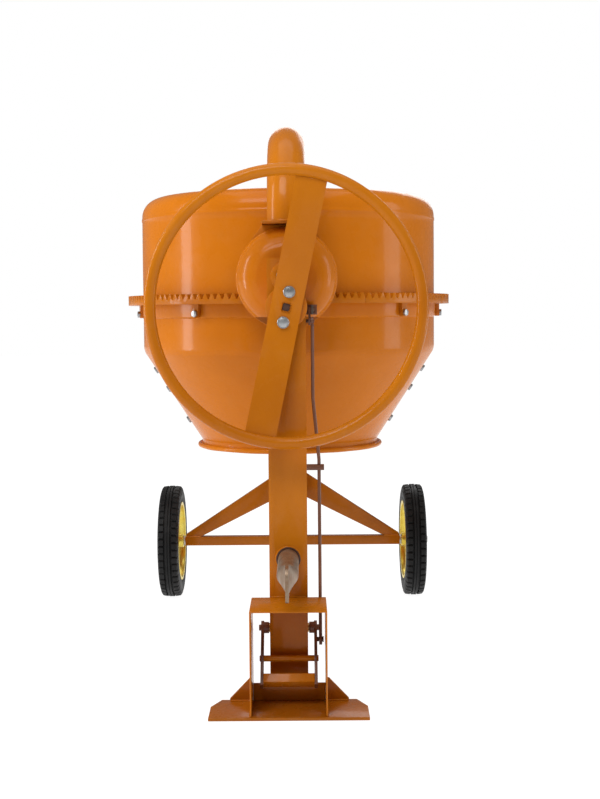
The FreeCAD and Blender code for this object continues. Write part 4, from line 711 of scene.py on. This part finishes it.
BOLT_OUT = 0.040
WASHER_SEAT = 0.0081
BAR_WELD_HALF = 0.038
for side in (-1, 1):
    seat = on_bar(side * BOLT_OUT, 0, BAR_Y - WASHER_SEAT)
    washer("hand_washer_%d" % (side + 1), seat, (0, -1, 0), 0.0155, 0.0085, 0.0022,
           "handwheel", ZINC)
    reach = side * (RING_R - RING_TUBE - 0.0025)
    across = [share * BAR_WELD_HALF for share in (-1, -0.5, 0, 0.5, 1)]
    weld("handwheel_weld_%d" % (side + 1),
         [on_bar(reach, aside, RING_Y + 0.005 - abs(aside) * 0.02) for aside in across],
         0.007, "handwheel", FRAME_ORANGE, side)


def collar(name, angle, width):
    """The dressed butt weld of the handwheel's pipe, a low band round the pipe."""
    bm = bmesh.new()
    rings = []
    for share, lift in ((-0.5, -0.0010), (-0.25, -0.0003), (0, -0.0002), (0.25, -0.0003),
                        (0.5, -0.0010)):
        turn = angle + share * width / RING_R
        out = Vector((math.cos(turn), 0, math.sin(turn)))
        rings.append(circle(bm, on_ring(turn, PIPE_R), RING_TUBE + lift, out, Vector((0, 1, 0)),
                            40))
    for ring, after in zip(rings, rings[1:]):
        stitch(bm, ring, after)
    cap(bm, rings)
    piece = piece_from(name, bm, FRAME_ORANGE)
    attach(piece, "handwheel")


for number, degrees in enumerate((-62, -118, 24)):
    collar("handwheel_joint_%d" % number, math.radians(degrees), 0.010)


# ---------------------------------------------------------------- frame
# How wide the rounding of each node's edges is: wider where sheet or tube is bent.
EDGES = {"front_column": 0.0030, "rear_column": 0.0030, "backbone_tube": 0.0010,
         "tow_pipe_clamp": 0.0009, "bearing_sleeves": 0.0012, "pedal_bushes": 0.0006,
         "foot_plate": 0.0016, "foot_webs": 0.0014, "pedal_guard": 0.0022, "axle_beam": 0.0020,
         "axle_braces": 0.0026, "axle_stubs": 0.0010, "wheel_retainers": 0.0005,
         "brake_brackets": 0.0010, "tow_pipe": 0.0014, "brake_crank": 0.0008,
         "brake_plunger": 0.0006, "pull_rod": 0.0006, "pedal_levers": 0.0012,
         "pedal_shafts": 0.0009, "motor_shelf": 0.0012, "hood_back_plate": 0.0008,
         "hood_hinges": 0.0006, "motor_hood": 0.0010}
for node, width in EDGES.items():
    refine(node, look_of(node), width, 3 if width > 0.0012 else 2)

# The tow pipe's guide is painted near-black as painted shade in the column's hole, and the pedal's
# lower shaft like the frame.
refine("tow_pipe_guide", PAINTED_SHADE, 0.0012, 2)
shafts = bpy.data.objects["pedal_shafts_finished"].data
shafts.materials.append(FRAME_ORANGE)
for face in shafts.polygons:
    if face.center.z < PEDAL_Z - 0.045:
        face.material_index = 1


def weld_loop(name, low, high, z, width, body, seed):
    """A bead round the foot of an upright box."""
    corners = [(low[0], low[1], z), (high[0], low[1], z), (high[0], high[1], z),
               (low[0], high[1], z), (low[0], low[1], z)]
    weld(name, corners, width, body, FRAME_ORANGE, seed)


PLATE_BEAD = FOOT_TOP + 0.001
COLUMN_BEAD = COLUMN_HALF + 0.0008
GUARD_BEAD = high_guard[0] + 0.0006
BRACE_SIDE = 0.0128
BRACE_LOW, BRACE_HIGH = AXLE_Z + 0.160, AXLE_Z + 0.244
BRACE_IN, BRACE_OUT = high_beam[0] - 0.056, high_beam[0] - 0.005
WEB_SIDE, WEB_REACH, WEB_TALL = 0.0044, 0.056, 0.058

weld_loop("column_foot_weld", low_column, high_column, PLATE_BEAD, 0.007, "frame", 11)
for side, tag in ((-1, "left"), (1, "right")):
    edge = side * (high_guard[0] + 0.0008)
    weld("guard_foot_weld_" + tag, [(edge, low_guard[1] + 0.004, PLATE_BEAD),
                                    (edge, high_guard[1] - 0.004, PLATE_BEAD)],
         0.005, "frame", FRAME_ORANGE, 12 + side)
    weld("guard_column_weld_" + tag,
         [(side * 0.045, OUTER_Y - 0.0012, high_guard[2] + 0.0008),
          (side * 0.004, OUTER_Y - 0.0012, high_guard[2] + 0.0008)],
         0.006, "frame", FRAME_ORANGE, 15)
    for y_side in (-1, 1):
        place = "_%s_%d" % (tag, y_side + 1)
        y = AXLE_Y + y_side * BRACE_SIDE
        weld("brace_top_weld" + place,
             [(side * COLUMN_BEAD, y, BRACE_LOW), (side * COLUMN_BEAD, y, BRACE_HIGH)],
             0.006, "frame", FRAME_ORANGE, 20 + side)
        weld("brace_low_weld" + place,
             [(side * BRACE_IN, y, BEAM_TOP + 0.0006), (side * BRACE_OUT, y, BEAM_TOP + 0.0006)],
             0.006, "frame", FRAME_ORANGE, 24 + side)
        web_y = WEB_Y + y_side * WEB_SIDE
        weld("web_weld" + place,
             [(side * GUARD_BEAD, web_y, FOOT_TOP + WEB_TALL),
              (side * GUARD_BEAD, web_y, PLATE_BEAD),
              (side * (high_guard[0] + WEB_REACH), web_y, PLATE_BEAD)],
             0.005, "frame", FRAME_ORANGE, 28 + side)

for name, height, radius in (("tilt_sleeve_weld", TILT_Z, 0.0378),
                             ("hand_sleeve_weld", HAND_Z, 0.0238),
                             ("tow_guide_weld", TOW_Z, 0.0328)):
    weld(name, round_path(radius, OUTER_Y - 0.0008, steps=60, axis="Y", centre=(0, height)),
         0.005, "frame", FRAME_ORANGE, 31)

# The pressed cover over the tilting gears, and the folded bead along its rim.
refine("tilt_gear_cover", ORANGE, 0.0011, 3)
bead_r = 0.0042
rim_r = high_cover[0] - 0.004
flat = math.degrees(math.asin((low_cover[2] - TILT_Z) / rim_r))
rim_path = round_path(rim_r - 0.0005, high_cover[1] - 0.0046, flat + 1, 179 - flat, 110, "Y",
                      (0, TILT_Z))
bead = pipe("cover_rim_bead", rim_path, bead_r, ORANGE, 20)
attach(bead, "frame")


# ---------------------------------------------------------------- pedal
def tread():
    """The pedal's foot bar: a channel with rolled grip ribs along its top."""
    xs = [v.co.x for v in frame["nodes"]["pedal_tread"].data.vertices]
    lean = math.radians(-41.9)
    along_y = Vector((0, math.cos(lean), math.sin(lean)))
    along_z = Vector((0, -math.sin(lean), math.cos(lean)))
    pivot = Vector((0, PEDAL_Y, PEDAL_Z))
    front, back, floor, top = -0.018, 0.012, -0.165, -0.1425
    rib_pitch, rib_low, rib_high = 0.0055, top - 0.0003, top + 0.0013
    outline = [(front, floor), (back, floor), (back, top), (back - 0.0015, top + 0.0015)]
    for rib in range(5):
        y = 0.0075 - rib * rib_pitch
        outline += [(y, rib_low), (y - 0.0012, rib_high), (y - 0.0030, rib_high),
                    (y - 0.0042, rib_low)]
    outline += [(front, top)]
    bm = bmesh.new()
    ends = [[bm.verts.new(pivot + Vector((x, 0, 0)) + along_y * y + along_z * z)
             for y, z in outline] for x in (min(xs), max(xs))]
    stitch(bm, *ends)
    cap(bm, ends)
    piece = piece_from("pedal_ribbed_tread", bm, FRAME_ORANGE)
    bevel(piece, 0.0006, 2)
    stand_for(piece, "pedal", "pedal_tread")


tread()


# ---------------------------------------------------------------- road wheels
def tyre(name, centre_x):
    """A solid rubber tyre: four ribs, offset grooves across the outer two, ribbed sidewalls."""
    half, top = TYRE_HALF, TYRE_R
    steps, groove_every, groove_deep, shoulder_x = 288, 6, 0.0055, 0.0130
    side = [(half - 0.0032, RIM_R + 0.0002), (half - 0.0032, RIM_R + 0.009),
            (half - 0.0012, RIM_R + 0.0125), (half - 0.0004, RIM_R + 0.0145),
            (half - 0.0014, RIM_R + 0.0165), (half, RIM_R + 0.022),
            (half, top - 0.026), (half - 0.0014, top - 0.0245), (half - 0.0014, top - 0.0225),
            (half, top - 0.021), (half - 0.0004, top - 0.016), (half - 0.0028, top - 0.0075),
            (half - 0.0065, top - 0.0028)]
    ribs = [(0.0145, top - 0.0006), (0.0135, top - 0.009), (0.0090, top - 0.009), (0.0080, top)]
    groove = [(0.0012, top), (0.0006, top - 0.0045), (-0.0006, top - 0.0045), (-0.0012, top)]
    right = side + ribs
    profile = right + groove + [(-x, r) for x, r in reversed(right)]
    bm = bmesh.new()
    rings = []
    for x, outline_r in profile:
        shift = 0 if x > 0 else groove_every // 2
        block = outline_r > top - 0.008 and abs(x) > shoulder_x
        ring = []
        for step in range(steps):
            angle = 2 * math.pi * step / steps
            cut = block and (step + shift) % groove_every == 0
            radius = outline_r - (groove_deep if cut else 0.0)
            ring.append(bm.verts.new((centre_x + x, AXLE_Y + radius * math.cos(angle),
                                      AXLE_Z + radius * math.sin(angle))))
        rings.append(ring)
    for ring, after in zip(rings, rings[1:] + rings[:1]):
        stitch(bm, ring, after)
    return piece_from(name, bm, RUBBER, math.radians(28))


def rim(name, centre_x):
    """A pressed steel rim: rolled flanges, a dished disc with eight holes, and a hub tube."""
    half = TYRE_HALF
    hole_count, hole_r, hole_circle = 8, 0.013, 0.064
    outer = [(0.040, 0.0126), (0.040, 0.0225), (0.0385, 0.0240), (0.010, 0.0262), (0.0055, 0.0290),
             (0.004, 0.0350), (0.004, RIM_R - 0.052), (0.0055, RIM_R - 0.044),
             (0.0085, RIM_R - 0.034), (0.0105, RIM_R - 0.026), (0.0112, RIM_R - 0.018),
             (0.0140, RIM_R - 0.0115), (0.0200, RIM_R - 0.0072), (half - 0.008, RIM_R - 0.0052),
             (half - 0.003, RIM_R - 0.0050), (half - 0.0008, RIM_R - 0.0030),
             (half - 0.0002, RIM_R + 0.0005), (half - 0.0002, RIM_R + 0.0046),
             (half - 0.0012, RIM_R + 0.0060), (half - 0.0024, RIM_R + 0.0060),
             (half - 0.0030, RIM_R + 0.0050), (half - 0.0030, RIM_R)]
    profile = outer + [(-x, r) for x, r in reversed(outer)]
    piece = lathe(name, [(r, x) for x, r in profile], GOLD, 144, "X", (centre_x, AXLE_Y, AXLE_Z))
    holes = bmesh.new()
    for hole in range(hole_count):
        angle = 2 * math.pi * (hole + 0.5) / hole_count
        at = Vector((centre_x, AXLE_Y + hole_circle * math.cos(angle),
                     AXLE_Z + hole_circle * math.sin(angle)))
        made = bmesh.ops.create_cone(holes, cap_ends=True, segments=36, radius1=hole_r,
                                     radius2=hole_r, depth=0.06)
        turn = Matrix.Translation(at) @ Matrix.Rotation(math.radians(90), 4, "Y")
        bmesh.ops.transform(holes, matrix=turn, verts=made["verts"])
    cutter = piece_from(name + "_holes", holes, GOLD)
    mod = piece.modifiers.new("holes", "BOOLEAN")
    mod.operation = "DIFFERENCE"
    mod.solver = "EXACT"
    mod.object = cutter
    apply_modifiers(piece)
    bpy.data.objects.remove(cutter)
    shade(piece, math.radians(35))
    return piece


for side, tag in ((-1, "left"), (1, "right")):
    made = tyre("tyre_ribbed_" + tag, side * WHEEL_X)
    stand_for(made, "wheel_" + tag, "tyre_" + tag)
    made = rim("rim_pressed_" + tag, side * WHEEL_X)
    stand_for(made, "wheel_" + tag, "wheel_rim_" + tag)


# ---------------------------------------------------------------- motor
refine("motor_body", GREY, 0.0022, 3)


def motor_fins(count=26, first=-52, sweep_deg=284):
    """Cooling fins round the motor's body, with a gap on top for the terminal box."""
    long, tall, thin = 0.150, 0.011, 0.0028
    middle_r, middle_back = 0.0805, 0.100
    fins = bmesh.new()
    for fin in range(count):
        angle = math.radians(first + sweep_deg * fin / (count - 1))
        if 62 < math.degrees(angle) < 118:
            continue
        out = Vector((math.cos(angle), 0, math.sin(angle)))
        made = bmesh.ops.create_cube(fins, size=1.0)
        move = Matrix.Translation(Vector((0, MOTOR_BACK + middle_back, MOTOR_Z)) + out * middle_r)
        turn = Matrix.Rotation(-angle, 4, "Y")
        grow = Matrix.Diagonal((tall, long, thin, 1))
        bmesh.ops.transform(fins, matrix=move @ turn @ grow, verts=made["verts"])
    piece = piece_from("motor_fins", fins, GREY)
    bevel(piece, 0.0008, 2)
    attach(piece, "frame")


motor_fins()


# ---------------------------------------------------------------- camera, light and floor
CAMERA_AT = Vector((0.040, -3.995, 1.016))
CAMERA_PITCH = math.radians(3.77)
CAMERA_YAW = math.radians(0.08)
CAMERA_ROLL = math.radians(0.45)

camera_data = bpy.data.cameras.new("camera")
camera_data.lens = 57.8
camera_data.sensor_width = 36
camera = bpy.data.objects.new("camera", camera_data)
camera.location = CAMERA_AT
camera.rotation_euler = (math.radians(90) - CAMERA_PITCH, CAMERA_ROLL, CAMERA_YAW)
bpy.context.scene.collection.objects.link(camera)
bpy.context.scene.camera = camera


def soft_light(name, at, towards, size, power):
    """A white rectangular lamp that faces a point."""
    data = bpy.data.lights.new(name, "AREA")
    data.shape = "RECTANGLE"
    data.size, data.size_y = size
    data.energy = power
    lamp = bpy.data.objects.new(name, data)
    lamp.location = at
    lamp.rotation_euler = (Vector(towards) - Vector(at)).to_track_quat("-Z", "Y").to_euler()
    bpy.context.scene.collection.objects.link(lamp)


soft_light("key_left", (-3.15, -0.62, 1.6), (0, 0, 1.0), (0.55, 2.6), 50)
soft_light("fill_right", (3.1, -0.45, 1.6), (0, 0, 1.0), (0.9, 2.4), 26)
soft_light("front", (-1.2, -3.4, 4.0), (0, 0, 0.8), (2.6, 1.6), 95)
soft_light("top", (0, -0.6, 4.2), (0, 0, 1.0), (3.0, 3.0), 40)
soft_light("back", (0.5, 3.4, 2.6), (0, 0, 0.9), (2.4, 1.6), 26)



def studio():
    """A world that is white where it is seen, and a darker room where it lights the object."""
    world = bpy.data.worlds.new("studio")
    world.use_nodes = True
    sky = world.node_tree
    backdrop = sky.nodes["Background"]
    backdrop.inputs["Color"].default_value = WHITE
    room = sky.nodes.new("ShaderNodeBackground")
    room.inputs["Color"].default_value = (1, 0.985, 0.96, 1)
    room.inputs["Strength"].default_value = 0.26
    choice = sky.nodes.new("ShaderNodeMixShader")
    rays = sky.nodes.new("ShaderNodeLightPath")
    sky.links.new(rays.outputs["Is Camera Ray"], choice.inputs["Fac"])
    sky.links.new(room.outputs["Background"], choice.inputs[1])
    sky.links.new(backdrop.outputs["Background"], choice.inputs[2])
    sky.links.new(choice.outputs["Shader"], sky.nodes["World Output"].inputs["Surface"])
    bpy.context.scene.world = world
    bpy.context.scene.view_settings.view_transform = "Standard"


def ground():
    """A wide pale floor, just below the wheels and the foot plate."""
    bm = bmesh.new()
    bmesh.ops.create_circle(bm, cap_ends=True, radius=30, segments=96)
    mesh = bpy.data.meshes.new("floor")
    bm.to_mesh(mesh)
    bm.free()
    look = Nodes("pale_floor")
    look.set(Specular_IOR_Level=0.1, Emission_Color=WHITE, Emission_Strength=0.96)
    mesh.materials.append(look.done((0.22, 0.22, 0.22), 0.9))
    floor = bpy.data.objects.new("floor", mesh)
    floor.location = (0, 0, -0.0005)
    bpy.context.scene.collection.objects.link(floor)
    return floor


studio()
ground()
